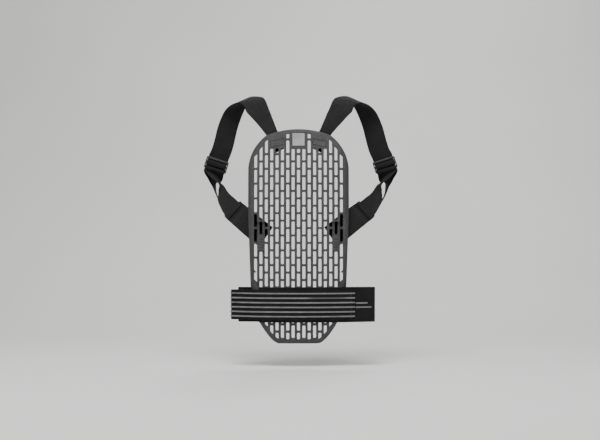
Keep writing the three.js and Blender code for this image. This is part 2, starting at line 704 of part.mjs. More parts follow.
// The common course of the two lower straps, from below the adjuster to the sewn end on the inner face.
function lowerCourse(reach) {
  const edgeOut = HALF_WIDTH + SIDE_EDGE_OUT;
  const edgeDeep = sag(edgeOut, SIDE_ANCHOR_UP) + STRAP_LIFT;
  const edge = new THREE.Vector3(edgeOut, edgeDeep, SIDE_ANCHOR_UP + SIDE_EDGE_RISE);
  const start = threadStations(LOOP_THREAD, reach).pop();
  const free = LOWER_COURSE.map((row) => ({
    point: new THREE.Vector3(
      THREE.MathUtils.lerp(edge.x, start.point.x, row.out),
      THREE.MathUtils.lerp(edge.y, start.point.y, row.deep),
      THREE.MathUtils.lerp(start.point.z, edge.z, row.down),
    ),
    across: new THREE.Vector3(row.ax, row.ay, row.az),
    width: STRAP_WIDTH * row.width,
  }));
  const sewn = [0, 0.5, 1].map((share) => {
    const out = THREE.MathUtils.lerp(HALF_WIDTH - SIDE_LEAVES_IN, HALF_WIDTH - SIDE_SEWN_IN, share);
    const up = SIDE_ANCHOR_UP + SIDE_SEWN_RISE - share * SIDE_SEWN_FALL;
    return {
      point: onInnerFace(out, up, STRAP_LIFT + SIDE_STRAP_BOW),
      across: alongInnerFace(out, up, SIDE_SEWN_ACROSS),
      width: STRAP_WIDTH,
    };
  });
  return smoothed([start, ...free, ...sewn], 4);
}

function adjusterStrap(reach) {
  const course = lowerCourse(reach);
  const end = Math.round(course.length * LAP_AT);
  return ribbon([...threadStations(LOOP_THREAD, reach), ...course.slice(1, end)], WEBBING);
}

function sideStrap(reach) {
  const course = lowerCourse(reach);
  const end = Math.round(course.length * LAP_AT);
  let start = end - 1;
  while (course[start].point.distanceTo(course[end - 1].point) < LAP) start -= 1;
  return ribbon(course.slice(start).map((station, index, all) => {
    const next = all[Math.min(all.length - 1, index + 1)].point;
    const before = all[Math.max(0, index - 1)].point;
    const face = next.clone().sub(before).cross(station.across).normalize();
    const lap = index <= end - start ? WEBBING + 3 * CLEARANCE : 0;
    return { ...station, point: station.point.clone().addScaledVector(face, lap), width: SIDE_STRAP_WIDTH };
  }), WEBBING);
}

// Belt lines are drawn in plan, as points across and deep at the belt's middle height.
const BELT_LEAN = sagSlopes(0, BELT_UP).up;
const BELT_BOW = BOTTOM_SAG * (BAND_HEIGHT / 2 / (HALF_HEIGHT + BOTTOM_SAG_FROM)) ** 2;
const FRONT_LIFT = -PLATE_DEPTH - CLEARANCE - ELASTIC / 2;
const BACK_LIFT = CLEARANCE + BELT_BOW + ELASTIC / 2;
const LAYER = ELASTIC + CLEARANCE;
const FRONT_LEAVES = HALF_WIDTH - FRONT_LEAVES_IN;
const BACK_LEAVES = HALF_WIDTH - BACK_LEAVES_IN;

function hugging(from, to, lift) {
  const steps = Math.ceil(Math.abs(to - from) / BELT_STEP);
  const points = [];
  for (let step = 0; step <= steps; step += 1) {
    const out = THREE.MathUtils.lerp(from, to, step / steps);
    points.push(new THREE.Vector2(out, sag(out, BELT_UP) + lift));
  }
  return points;
}

// Half a turn round a fold, from the outer side to the wearer's side.
function fold(foldOut) {
  const side = Math.sign(foldOut);
  const middle = foldOut - side * (FOLD_RADIUS + ELASTIC / 2);
  return [-90, -60, -30, 0, 30, 60, 90].map((degrees) => {
    const turn = THREE.MathUtils.degToRad(degrees);
    return new THREE.Vector2(
      middle + side * FOLD_RADIUS * Math.cos(turn),
      FOLD_DEPTH + FOLD_RADIUS * Math.sin(turn),
    );
  });
}

function pointAt(line, out) {
  for (let i = 0; i + 1 < line.length; i += 1) {
    const [a, b] = [line[i], line[i + 1]];
    const share = (out - a.x) / (b.x - a.x);
    if (share >= 0 && share <= 1) return a.clone().lerp(b, share);
  }
  throw new Error('the line does not reach this place');
}

// The band: the right wing's free end on the outer face, the right fold, and the run behind the plate.
function bandLine() {
  const front = hugging(RIGHT_WING_END, FRONT_LEAVES, FRONT_LIFT);
  const back = hugging(BACK_LEAVES, -BACK_LEAVES, BACK_LIFT);
  const behindWing = fold(LEFT_FOLD_OUT).pop().sub(new THREE.Vector2(0, LAYER));
  const end = pointAt([back[back.length - 1], behindWing], BAND_END);
  return [...front, ...fold(RIGHT_FOLD_OUT), ...back, end];
}

// The striped wing: sewn on the band behind, round the left fold, and over the right wing to its end.
function wingLine() {
  const back = hugging(WING_SEWN_END, -BACK_LEAVES, BACK_LIFT + LAYER);
  const round = fold(LEFT_FOLD_OUT).reverse();
  const front = hugging(-FRONT_LEAVES, FRONT_LEAVES, FRONT_LIFT);
  const rightFold = fold(RIGHT_FOLD_OUT)[0];
  const end = pointAt([front[front.length - 1], rightFold], WING_FREE_END);
  const over = offsetLine([...front, end], LAYER);
  return [...back, ...round, ...over];
}

// A strip of the belt along a line in plan, at a height above the belt's middle. The belt leans with the
// plate, so what is higher lies further out.
function beltStrip(line, up, height, thickness) {
  const outer = offsetLine(line, thickness / 2);
  const inner = offsetLine(line, -thickness / 2);
  const corner = (point, level) => new THREE.Vector3(point.x, point.y + BELT_LEAN * level, BELT_UP + level);
  const [low, high] = [up - height / 2, up + height / 2];
  return skin(line.map((_, index) => [
    corner(outer[index], low),
    corner(outer[index], high),
    corner(inner[index], high),
    corner(inner[index], low),
  ]));
}

function gripStripe(number) {
  const wing = wingLine();
  const sewn = wing.findIndex((point) => point.x < -BACK_LEAVES + 1);
  const start = pointAt(wing.slice(sewn, sewn + 2), GRIP_BACK_END);
  const visible = [start, ...wing.slice(sewn + 1)];
  const line = offsetLine(visible, (ELASTIC + GRIP_THICK) / 2 + CLEARANCE);
  const up = ((GRIP_STRIPES - 1) / 2 - number) * GRIP_PITCH;
  return beltStrip(line, up, GRIP_WIDTH, GRIP_THICK);
}

function bandStripe({ up, length }) {
  const straight = [hugging(0, FRONT_LEAVES, FRONT_LIFT).pop(), fold(RIGHT_FOLD_OUT)[0]];
  const from = WING_FREE_END + BAND_STRIPE_GAP;
  const line = [pointAt(straight, from), pointAt(straight, from + length)];
  return beltStrip(offsetLine(line, (ELASTIC + GRIP_THICK) / 2 + CLEARANCE), up, GRIP_WIDTH, GRIP_THICK);
}

const group = new THREE.Group();

function place(name, geometry, material) {
  const mesh = new THREE.Mesh(geometry, material);
  mesh.name = name;
  group.add(mesh);
}

function placePair(name, shape, material) {
  place(`${name}_right`, shape(RIGHT_LOOP_REACH), material());
  place(`${name}_left`, mirrored(shape(LEFT_LOOP_REACH)), material());
}

place('protector_plate', protectorPlate(), foam());
place('badge_plaque', badgePlaque(), badge());
placePair('marking_pad', markingPad, foam);
placePair('channel_pad', channelPad, foam);
placePair('shoulder_strap', shoulderStrap, webbing);
placePair('slide_adjuster', slideAdjuster, plastic);
placePair('adjuster_strap', adjusterStrap, webbing);
placePair('side_strap', sideStrap, webbing);
place('belt_band', beltStrip(bandLine(), 0, BAND_HEIGHT, ELASTIC), elastic());
place('belt_striped_wing', beltStrip(wingLine(), 0, WING_HEIGHT, ELASTIC), elastic());
for (let number = 0; number < GRIP_STRIPES; number += 1) {
  place(`grip_stripe_${number + 1}`, gripStripe(number), silicone());
}
BAND_STRIPES.forEach((stripe, number) => {
  place(`band_stripe_${number + 1}`, bandStripe(stripe), silicone());
});

export default group;
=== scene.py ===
import math

import bmesh
import bpy
from mathutils import Matrix, Vector, kdtree, noise


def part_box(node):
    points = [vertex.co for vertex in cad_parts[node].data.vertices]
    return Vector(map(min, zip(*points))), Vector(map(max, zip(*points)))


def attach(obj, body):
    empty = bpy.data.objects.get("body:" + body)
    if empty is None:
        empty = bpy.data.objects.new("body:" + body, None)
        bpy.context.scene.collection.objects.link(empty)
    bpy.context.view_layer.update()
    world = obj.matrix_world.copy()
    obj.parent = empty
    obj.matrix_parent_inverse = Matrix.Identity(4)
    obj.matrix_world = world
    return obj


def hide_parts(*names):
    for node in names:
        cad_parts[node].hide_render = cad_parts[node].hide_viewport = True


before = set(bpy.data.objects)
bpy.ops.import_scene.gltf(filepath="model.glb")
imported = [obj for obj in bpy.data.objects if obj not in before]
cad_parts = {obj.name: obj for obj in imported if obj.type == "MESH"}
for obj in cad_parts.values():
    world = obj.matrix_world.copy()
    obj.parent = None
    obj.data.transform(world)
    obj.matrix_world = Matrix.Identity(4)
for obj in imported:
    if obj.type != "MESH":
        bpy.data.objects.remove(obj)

bl_info = {
    "name": "Back protector",
    "version": (1, 0, 0),
    "blender": (4, 5, 0),
    "location": "View3D > Sidebar > Back protector",
    "description": "Models a slotted foam back protector with shoulder straps and a wide elastic belt",
    "category": "Add Mesh",
}

# Foam plate, in metres. It is modelled flat, as out, up and height above the inner face, and then bowed.
PLATE_WIDTH = 0.202
PLATE_HEIGHT = 0.430
PLATE_DEPTH = 0.015
RIM_DEPTH = 0.007
RIM_WIDTH = 0.007
INNER_ROUND = 0.0012
SIDE_SAG = 0.012
TOP_SAG = 0.022
BOTTOM_SAG = 0.012
TOP_SAG_FROM = 0.020
BOTTOM_SAG_FROM = -0.060
HALF_WIDTH = PLATE_WIDTH / 2
HALF_HEIGHT = PLATE_HEIGHT / 2

# Half outline of the plate from the top middle down the right side. Out is a share of half the width, up
# is a share of half the height, and bow is the rise of the arc to the next point over its length.
OUTLINE = [
    {"out": 0, "up": 1, "bow": 0.046},
    {"out": 0.634, "up": 0.944, "bow": 0.107},
    {"out": 1, "up": 0.642, "bow": 0},
    {"out": 1, "up": 0.242, "bow": 0},
    {"out": 0.95, "up": -0.456, "bow": 0},
    {"out": 0.772, "up": -0.8, "bow": 0.03},
    {"out": 0.554, "up": -0.949, "bow": 0.05},
    {"out": 0.406, "up": -1, "bow": 0},
]
ARC_STEPS = 8

# Slots
COLUMNS_EACH_SIDE = 8
FIRST_BRIDGE_UP = 0.1643
FIELD_MARGIN = 0.0085
SHORTEST_SLOT = 0.0042
SLOT_CORNER = 0.0017
SLOT_RIM = 0.0006

# Pieces set into the foam
BADGE_UP = 0.1935
BADGE_WIDTH = 0.0255
BADGE_HEIGHT = 0.0265
BADGE_POCKET = 0.0015
MARKING_OUT = 0.042
MARKING_UP = 0.187
MARKING_WIDTH = 0.027
MARKING_HEIGHT = 0.012
MARKING_POCKET = 0.0015
MARKING_TILT = math.radians(11.8)
CHANNEL_COLUMN = 7
CHANNEL_DEPTH = 0.003
CHANNEL_TOP = 0.028
CHANNEL_BOTTOM = -0.0987
CHANNEL_WALL = 0.0006
POCKET_SPARE = 0.005
SAME_PLACE = 5e-5
PAD_TOP = 0.0
PAD_HEIGHT = 0.030
PIECE_GAP = 0.0003

# Stretches of a column that stay whole foam, for the columns from the middle outwards.
WHOLE_FOAM = [
    {"columns": (0, 1), "low": 0.1745, "high": HALF_HEIGHT},
    {"columns": (3,), "low": 0.1755, "high": 0.1995},
    {"columns": (4,), "low": 0.1755, "high": 0.1975},
    {"columns": (5,), "low": 0.1750, "high": 0.1950},
    {"columns": (7,), "low": PAD_TOP - PAD_HEIGHT - 0.001, "high": PAD_TOP + 0.001},
]

WEBBING = 0.0016
ELASTIC = 0.0018
FRAME_WIDTH = 0.048
FRAME_HEIGHT = 0.025
FRAME_THICK = 0.0032
FRAME_BAR = 0.004
FRAME_SIDE = 0.0026
FRAME_TILT = math.radians(18)
FRAME_CORNER = 0.0024
FRAME_HOLE_CORNER = 0.001
FRAME_ROUND = 0.0008

# Badge, marking pieces and ribbed pads
BADGE_RISE = 0.0017
MARKING_RISE = 0.0016
PAD_BELOW_FACE = 0.0006
RIB_ROOT = 0.0002
MARKING_RIB_WIDTH = 0.0016
MARKING_RIB_FIELD = 0.76
MARKING_RIB_SHARE = 0.5
MARKING_RIB_TURN = math.radians(28)
PAD_RIB_LENGTH = 0.66
PAD_RIB_WIDTH = 0.45
STUD = 0.0026
STUD_COLUMNS = 4
STUD_ROWS = 5
STUD_FIELD = 0.8
MARKING_RIBS = 5
PAD_RIBS = 5
RAISED = 0.0006

# The dark groove that is seen between a set-in piece and the wall of its pocket.
GROOVE = 0.0007
TABLET_BORDER = 0.0012
TABLET_SUNK = 0.0008
TABLET_EDGE = 0.0004
BLOCK_EDGE = 0.0003

# Straps and belt
BELT_STEP = 0.005
BELT_COLUMNS = 24
BELT_EDGE = 0.0005
STRIPE_STEP = 0.006
STRIPE_COLUMNS = 4
STRIPE_THICK = 0.0007
STRIPE_EDGE = 0.00025
STRIPE_CROWN = 0.00012
STRAP_RIPPLE = 0.0009
STRAP_RIPPLE_REACH = 0.03
LOWER_RIPPLE = 0.0007
LOWER_RIPPLE_REACH = 0.025
BELT_RIPPLE = 0.00012
BELT_RIPPLE_REACH = 0.05
SIDES = (("right", 1), ("left", -1))
COURSE_STEP = 0.0032
STRAP_COLUMNS = 14
STRAP_EDGE = 0.0004

# Where the shoulder strap bunches as it turns over its crest: the share of its length, how far along the
# strap the folds go, how deep they are and how far apart across the strap.
CREST_FOLDS = [
    {"at": 0.255, "along": 0.016, "deep": 0.0011, "apart": 0.011},
    {"at": 0.315, "along": 0.011, "deep": 0.0007, "apart": 0.008},
]
HELD_REACH = 0.028

# Where a stripe is worn: its number from the top, the stretch across the back and how much is gone.
WORN_STRIPES = [
    {"number": 2, "from": 0.016, "to": 0.100, "share": 0.8},
    {"number": 6, "from": 0.060, "to": 0.085, "share": 0.35},
    {"number": 1, "from": -0.140, "to": -0.112, "share": 0.5},
    {"number": 3, "from": -0.140, "to": -0.118, "share": 0.55},
]

STITCH_RADIUS = 0.0004
STITCH_LENGTH = 0.0024
STITCH_PITCH = 0.0036

# The rows of stitches on each kind of band. A place is a length along the band, which counts from its far
# end when it is below zero, and a share across it. Each row also has the way that its side of the band looks.
OUTWARDS = (0, -1, 0)
INWARDS = (0, 1, 0)
HEM = 0.008
SEWN_BOX = HEM + 0.018
SEWN_ACROSS = 0.44
HEM_ACROSS = 0.46
SEWN_END = [
    {"start": (HEM, -SEWN_ACROSS), "end": (HEM, SEWN_ACROSS), "towards": INWARDS},
    {"start": (SEWN_BOX, -SEWN_ACROSS), "end": (SEWN_BOX, SEWN_ACROSS), "towards": INWARDS},
    {"start": (HEM, -SEWN_ACROSS), "end": (SEWN_BOX, -SEWN_ACROSS), "towards": INWARDS},
    {"start": (HEM, SEWN_ACROSS), "end": (SEWN_BOX, SEWN_ACROSS), "towards": INWARDS},
]
SIDE_HEM = {"start": (-HEM, -SEWN_ACROSS), "end": (-HEM, SEWN_ACROSS), "towards": OUTWARDS}
STITCHED = {"shoulder_strap_": SEWN_END, "side_strap_": SEWN_END + [SIDE_HEM]}
FAR_HEM = {"start": (-HEM, -HEM_ACROSS), "end": (-HEM, HEM_ACROSS), "towards": OUTWARDS}
NEAR_HEM = {"start": (HEM, -HEM_ACROSS), "end": (HEM, HEM_ACROSS), "towards": OUTWARDS}
BELT_HEMS = {"belt_band": [FAR_HEM, NEAR_HEM], "belt_striped_wing": [FAR_HEM]}

# Stage
CAMERA_OUT = 0.003
CAMERA_UP = 0.0323
LIGHTS = [
    {"name": "light_above", "place": (-0.2, -1.0, 1.9), "power": 62, "size": 1.1},
    {"name": "light_left", "place": (-1.9, -1.5, 0.7), "power": 13, "size": 1.4},
    {"name": "light_right", "place": (1.9, -1.2, 0.5), "power": 12, "size": 1.4},
    {"name": "light_behind", "place": (0.4, 1.6, 1.5), "power": 22, "size": 1.2},
]
FLOOR_ACROSS = 24
FLOOR_ALONG = 20
FLOOR_FORWARDS = -8.1
WALL_HEIGHT = 4.5
WALL_ROUND = 1.2
WORLD_LIGHT = 0.22


class PlateSettings(bpy.types.PropertyGroup):
    slot_pitch: bpy.props.FloatProperty(
        name="Slot pitch", description="Distance between two columns of slots",
        default=0.01072, unit="LENGTH")
    slot_width: bpy.props.FloatProperty(
        name="Slot width", description="Width of a slot through the foam", default=0.0058, unit="LENGTH")
    row_pitch: bpy.props.FloatProperty(
        name="Row pitch", description="Distance between two bridges of one column",
        default=0.0296, unit="LENGTH")
    bridge: bpy.props.FloatProperty(
        name="Bridge", description="Foam left between two slots of a column", default=0.0042, unit="LENGTH")
    foam: bpy.props.FloatVectorProperty(
        name="Foam", description="Colour of the foam", default=(0.05, 0.05, 0.052), subtype="COLOR")
    badge: bpy.props.FloatVectorProperty(
        name="Badge", description="Colour of the badge", default=(0.32, 0.32, 0.32), subtype="COLOR")


class StrapSettings(bpy.types.PropertyGroup):
    webbing: bpy.props.FloatVectorProperty(
        name="Webbing", description="Colour of the woven straps",
        default=(0.014, 0.014, 0.015), subtype="COLOR")
    elastic: bpy.props.FloatVectorProperty(
        name="Elastic", description="Colour of the belt", default=(0.012, 0.012, 0.013), subtype="COLOR")
    silicone: bpy.props.FloatVectorProperty(
        name="Silicone", description="Colour of the belt's stripes",
        default=(0.15, 0.15, 0.155), subtype="COLOR")
    plastic: bpy.props.FloatVectorProperty(
        name="Plastic", description="Colour of the slide adjusters",
        default=(0.02, 0.02, 0.021), subtype="COLOR")
    thread: bpy.props.FloatVectorProperty(
        name="Thread", description="Colour of the stitches", default=(0.03, 0.03, 0.032), subtype="COLOR")
    weave: bpy.props.FloatProperty(
        name="Weave", description="Distance between two picks of the webbing", default=0.0013, unit="LENGTH")
    rib: bpy.props.FloatProperty(
        name="Rib", description="Distance between two ribs of the elastic", default=0.0017, unit="LENGTH")


class StageSettings(bpy.types.PropertyGroup):
    floor_up: bpy.props.FloatProperty(
        name="Floor", description="Height of the floor under the protector", default=-0.262, unit="LENGTH")
    camera_away: bpy.props.FloatProperty(
        name="Camera distance", description="Distance from the camera to the plate",
        default=2.83, unit="LENGTH")
    lens: bpy.props.FloatProperty(
        name="Lens", description="Focal length of the camera", default=85, unit="CAMERA")
    floor: bpy.props.FloatVectorProperty(
        name="Floor colour", description="Colour of the floor", default=(0.72, 0.72, 0.71), subtype="COLOR")


def sag(out, up):
    """How far the plate's inner face lies behind its middle."""
    above = max(0, up - TOP_SAG_FROM) / (HALF_HEIGHT - TOP_SAG_FROM)
    below = max(0, BOTTOM_SAG_FROM - up) / (HALF_HEIGHT + BOTTOM_SAG_FROM)
    return SIDE_SAG * (out / HALF_WIDTH) ** 2 + TOP_SAG * above**2 + BOTTOM_SAG * below**2


def neighbours(ring):
    """Each point of a closed ring with the one before it and the one after it."""
    return zip(ring[-1:] + ring[:-1], ring, ring[1:] + ring[:1])


def mitres(ring):
    """For each corner of a clockwise ring, the step inwards that moves both its sides by one."""
    found = []
    for before, point, after in neighbours(ring):
        first = (point - before).normalized()
        middle = (first + (after - point).normalized()).normalized()
        found.append(Vector((middle.y, -middle.x)) / middle.dot(first))
    return found


def outline_ring(inset):
    """The plate's outline, clockwise from its lower left corner and drawn in all round."""
    half = []
    for row, following in zip(OUTLINE, OUTLINE[1:] + OUTLINE[-1:]):
        start = Vector((row["out"] * HALF_WIDTH, row["up"] * HALF_HEIGHT))
        along = Vector((following["out"] * HALF_WIDTH, following["up"] * HALF_HEIGHT)) - start
        rise = Vector((-along.y, along.x)) * 4 * row["bow"]
        for step in range(ARC_STEPS if row["bow"] else 1):
            share = step / ARC_STEPS
            half.append(start + along * share + rise * share * (1 - share))
    ring = [Vector((-point.x, point.y)) for point in reversed(half[1:])] + half
    return [point + mitre * inset for point, mitre in zip(ring, mitres(ring))]


def reach_of_field(out):
    """The lowest and highest place that a slot may reach at a place across the plate."""
    ring = outline_ring(FIELD_MARGIN)
    ups = []
    for _, start, end in neighbours(ring):
        if min(start.x, end.x) <= out < max(start.x, end.x):
            share = (out - start.x) / (end.x - start.x)
            ups.append(start.y + share * (end.y - start.y))
    return min(ups), max(ups)


def deselect_all():
    if bpy.context.object and bpy.context.object.mode != "OBJECT":
        bpy.ops.object.mode_set(mode="OBJECT")
    bpy.ops.object.select_all(action="DESELECT")


def edit(piece, kind="FACE"):
    """Opens a piece in edit mode, with its faces, edges or points to be picked."""
    deselect_all()
    piece.select_set(True)
    bpy.context.view_layer.objects.active = piece
    bpy.ops.object.mode_set(mode="EDIT")
    bpy.ops.mesh.select_mode(type=kind)


def pick(piece, kind, test):
    """Selects the faces, edges or points that pass the test, and says how many there are."""
    bpy.ops.mesh.select_mode(type=kind)
    bpy.ops.mesh.select_all(action="DESELECT")
    mesh = bmesh.from_edit_mesh(piece.data)
    parts = {"FACE": mesh.faces, "EDGE": mesh.edges, "VERT": mesh.verts}[kind]
    picked = [part for part in parts if test(part)]
    for part in picked:
        part.select_set(True)
    mesh.select_flush_mode()
    bmesh.update_edit_mesh(piece.data)
    return len(picked)


def score(piece, test, place, normal, drop_beyond=False):
    """Cuts the faces that pass the test along a line of the flat sheet."""
    if not pick(piece, "FACE", test):
        return
    bpy.ops.mesh.bisect(
        plane_co=(place[0], place[1], 0), plane_no=(normal[0], normal[1], 0),
        clear_outer=drop_beyond, threshold=1e-6)


def finish_edit(piece):
    bpy.ops.object.mode_set(mode="OBJECT")
    piece.select_set(False)


def move_points(piece, place_of):
    """Moves each point of a piece to the place that is worked out from it."""
    mesh = bmesh.new()
    mesh.from_mesh(piece.data)
    for point in mesh.verts:
        point.co = place_of(point.co)
    mesh.to_mesh(piece.data)
    mesh.free()


def bow(piece):
    """Takes a piece from the flat sheet to its place on the bowed plate."""
    move_points(piece, lambda place: Vector((place.x, sag(place.x, place.y) - place.z, place.y)))
    edit(piece)
    bpy.ops.mesh.select_all(action="SELECT")
    bpy.ops.mesh.normals_make_consistent(inside=False)
    finish_edit(piece)


def smooth(piece, degrees):
    deselect_all()
    piece.select_set(True)
    bpy.context.view_layer.objects.active = piece
    bpy.ops.object.shade_smooth_by_angle(angle=math.radians(degrees))


def apply_modifier(piece, kind, **values):
    """Adds a modifier with its values and applies it."""
    deselect_all()
    piece.select_set(True)
    bpy.context.view_layer.objects.active = piece
    bpy.ops.object.modifier_add(type=kind)
    modifier = piece.modifiers[-1]
    for name, value in values.items():
        setattr(modifier, name, value)
    bpy.ops.object.modifier_apply(modifier=modifier.name)


def seat(piece, material, slot, *nodes):
    """Gives a piece its material, lets it ride on the frame and stand for its solids."""
    piece.data.materials.clear()
    piece.data.materials.append(material)
    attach(piece, "root")
    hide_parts(*nodes)


def slots_of(column, settings):
    """The slots of one column, each with its two ends and how much each end slants."""
    out = column * settings.slot_pitch
    sides = [reach_of_field(out + side * settings.slot_width / 2) for side in (-1, 1)]
    bottom, top = [(sides[0][end] + sides[1][end]) / 2 for end in (0, 1)]
    bottom_slant, top_slant = [(sides[1][end] - sides[0][end]) / settings.slot_width for end in (0, 1)]
    straight_low = max(side[0] for side in sides)
    straight_high = min(side[1] for side in sides)
    first = FIRST_BRIDGE_UP - (settings.row_pitch / 2 if column % 2 else 0)
    rows = math.ceil(PLATE_HEIGHT / settings.row_pitch)
    stretches = []
    for row in range(-rows, rows):
        bridge_up = first - row * settings.row_pitch
        high = bridge_up - settings.bridge / 2
        low = bridge_up - settings.row_pitch + settings.bridge / 2
        stretches.append((max(low, bottom), min(high, top)))
    for foam in WHOLE_FOAM:
        if abs(column) in foam["columns"]:
            left = [(low, min(high, foam["low"])) for low, high in stretches]
            stretches = left + [(max(low, foam["high"]), high) for low, high in stretches]
    slots = []
    for low, high in sorted(set(stretches)):
        if high - low >= SHORTEST_SLOT:
            slots.append({
                "low": low, "low_slant": bottom_slant if low < straight_low else 0,
                "high": high, "high_slant": top_slant if high > straight_high else 0,
            })
    return slots


def column_of(out, settings):
    """The column whose slots lie at a place across, or None between two columns."""
    column = round(out / settings.slot_pitch)
    inside = abs(out - column * settings.slot_pitch) < settings.slot_width / 2 - 1e-6
    return column if inside and abs(column) <= COLUMNS_EACH_SIDE else None


def cut_sheet(piece, settings):
    """Cuts the flat sheet along the columns, the rows, the outline and the ends of the slots."""
    columns = range(-COLUMNS_EACH_SIDE, COLUMNS_EACH_SIDE + 1)
    for column in columns:
        for side in (-1, 1):
            edge = column * settings.slot_pitch + side * settings.slot_width / 2
            score(piece, lambda face: True, (edge, 0), (1, 0))
    up = FIRST_BRIDGE_UP + 2 * settings.row_pitch
    while up > FIELD_MARGIN + RIM_WIDTH - HALF_HEIGHT:
        score(piece, lambda face: True, (0, up), (0, 1))
        up -= settings.row_pitch / 2
    ring = outline_ring(RIM_WIDTH)
    for _, start, end in neighbours(ring):
        along = end - start
        score(piece, lambda face: True, start, (-along.y, along.x), drop_beyond=True)
    slots = {column: slots_of(column, settings) for column in columns}
    ends = {}
    for column in columns:
        for slot in slots[column]:
            for end in ("low", "high"):
                slant = slot[end + "_slant"]
                where = (column * settings.slot_pitch if slant else 0, slot[end], slant)
                ends.setdefault(where, []).append(column)
    for (out, up, slant), members in ends.items():
        score(
            piece, lambda face: column_of(face.calc_center_median().x, settings) in members,
            (out, up), (-slant, 1))
    bpy.ops.mesh.select_all(action="SELECT")
    bpy.ops.mesh.remove_doubles(threshold=SAME_PLACE)
    return slots


def in_slot(face, slots, settings):
    middle = face.calc_center_median()
    column = column_of(middle.x, settings)
    if column is None:
        return False
    out = middle.x - column * settings.slot_pitch
    return any(
        slot["low"] + out * slot["low_slant"] < middle.y < slot["high"] + out * slot["high_slant"]
        for slot in slots[column])


def is_upright(edge):
    first, second = edge.verts
    return (first.co.xy - second.co.xy).length < 1e-6


def is_slot_corner(edge):
    return is_upright(edge) and len(edge.link_faces) == 2 and edge.calc_face_angle() > math.radians(25)


def outside_field(place, ring):
    """Whether a place lies between the slots' field and the outline."""
    for _, start, end in neighbours(ring):
        along = end - start
        if along.x * (place.y - start.y) - along.y * (place.x - start.x) > 1e-6:
            return True
    return False


def round_slots(piece, ring):
    """Rounds the corners of the slots, and then their rims on both faces of the plate."""
    mesh = bmesh.from_edit_mesh(piece.data)
    corners = [edge for edge in mesh.edges if is_slot_corner(edge)]
    corners = [edge.verts[0].co.xy.copy() for edge in corners if not outside_field(edge.verts[0].co, ring)]
    tree = kdtree.KDTree(len(corners))
    for index, corner in enumerate(corners):
        tree.insert(corner.to_3d(), index)
    tree.balance()

    def is_crowded(point):
        away = tree.find(point.co.xy.to_3d())[2]
        near = SAME_PLACE < away < 1.3 * SLOT_CORNER and any(map(is_upright, point.link_edges))
        return near and not outside_field(point.co, ring)

    pick(piece, "EDGE", lambda edge: edge.calc_face_angle(1) < 0.02 and any(map(is_crowded, edge.verts)))
    bpy.ops.mesh.dissolve_edges(use_verts=True, use_face_split=False)
    pick(piece, "EDGE", lambda edge: is_slot_corner(edge) and not outside_field(edge.verts[0].co, ring))
    bpy.ops.mesh.bevel(
        offset=SLOT_CORNER, offset_type="OFFSET", segments=3, affect="EDGES", clamp_overlap=False)

    def is_rim(edge):
        first, second = edge.verts
        level = abs(first.co.z - second.co.z) < 1e-6 and len(edge.link_faces) == 2
        if not level or outside_field((first.co + second.co) / 2, ring):
            return False
        leans = sorted(abs(face.normal.z) for face in edge.link_faces)
        return leans[0] < 0.1 and leans[1] > 0.9

    pick(piece, "EDGE", is_rim)
    bpy.ops.mesh.bevel(offset=SLOT_RIM, offset_type="OFFSET", segments=2, affect="EDGES", clamp_overlap=False)


def sink_channel(piece, side, settings):
    """Sinks the strip round one column, with steep walls towards the foam beside it."""
    middle = side * CHANNEL_COLUMN * settings.slot_pitch
    half = settings.slot_pitch - settings.slot_width / 2

    def near(face):
        place = face.calc_center_median()
        beside = abs(place.x - middle) < half + settings.slot_width
        return beside and CHANNEL_BOTTOM - 0.02 < place.y < CHANNEL_TOP + 0.02

    for direction in (-1, 1):
        score(piece, near, (middle + direction * (half + CHANNEL_WALL), 0), (1, 0))
    for up in (CHANNEL_TOP, CHANNEL_TOP + CHANNEL_WALL, CHANNEL_BOTTOM, CHANNEL_BOTTOM - CHANNEL_WALL):
        score(piece, near, (0, up), (0, 1))
    mesh = bmesh.from_edit_mesh(piece.data)
    for point in mesh.verts:
        beside = abs(point.co.x - middle) < half + 1e-5
        along = CHANNEL_BOTTOM - 1e-5 < point.co.y < CHANNEL_TOP + 1e-5
        if beside and along and point.co.z > PLATE_DEPTH - 2 * SLOT_RIM:
            point.co.z -= CHANNEL_DEPTH
    bmesh.update_edit_mesh(piece.data)


def sink_pocket(piece, out, up, width, height, tilt, depth):
    """Sinks a four-sided pocket into the outer face."""
    turn = Matrix.Rotation(tilt, 2)
    middle = Vector((out, up))

    def reach(face, spare):
        place = turn.transposed() @ (face.calc_center_median().xy - middle)
        inside = abs(place.x) < width / 2 + spare and abs(place.y) < height / 2 + spare
        return inside and face.normal.z > 0.9 and face.calc_center_median().z > PLATE_DEPTH - 1e-5

    for normal, away in (((1, 0), width / 2), ((0, 1), height / 2)):
        for side in (-1, 1):
            direction = turn @ Vector(normal)
            score(piece, lambda face: reach(face, POCKET_SPARE), middle + direction * side * away, direction)
    bpy.ops.mesh.select_all(action="SELECT")
    bpy.ops.mesh.remove_doubles(threshold=SAME_PLACE)
    pick(piece, "FACE", lambda face: reach(face, 1e-5))
    bpy.ops.mesh.extrude_region_move(TRANSFORM_OT_translate={"value": (0, 0, -depth)})


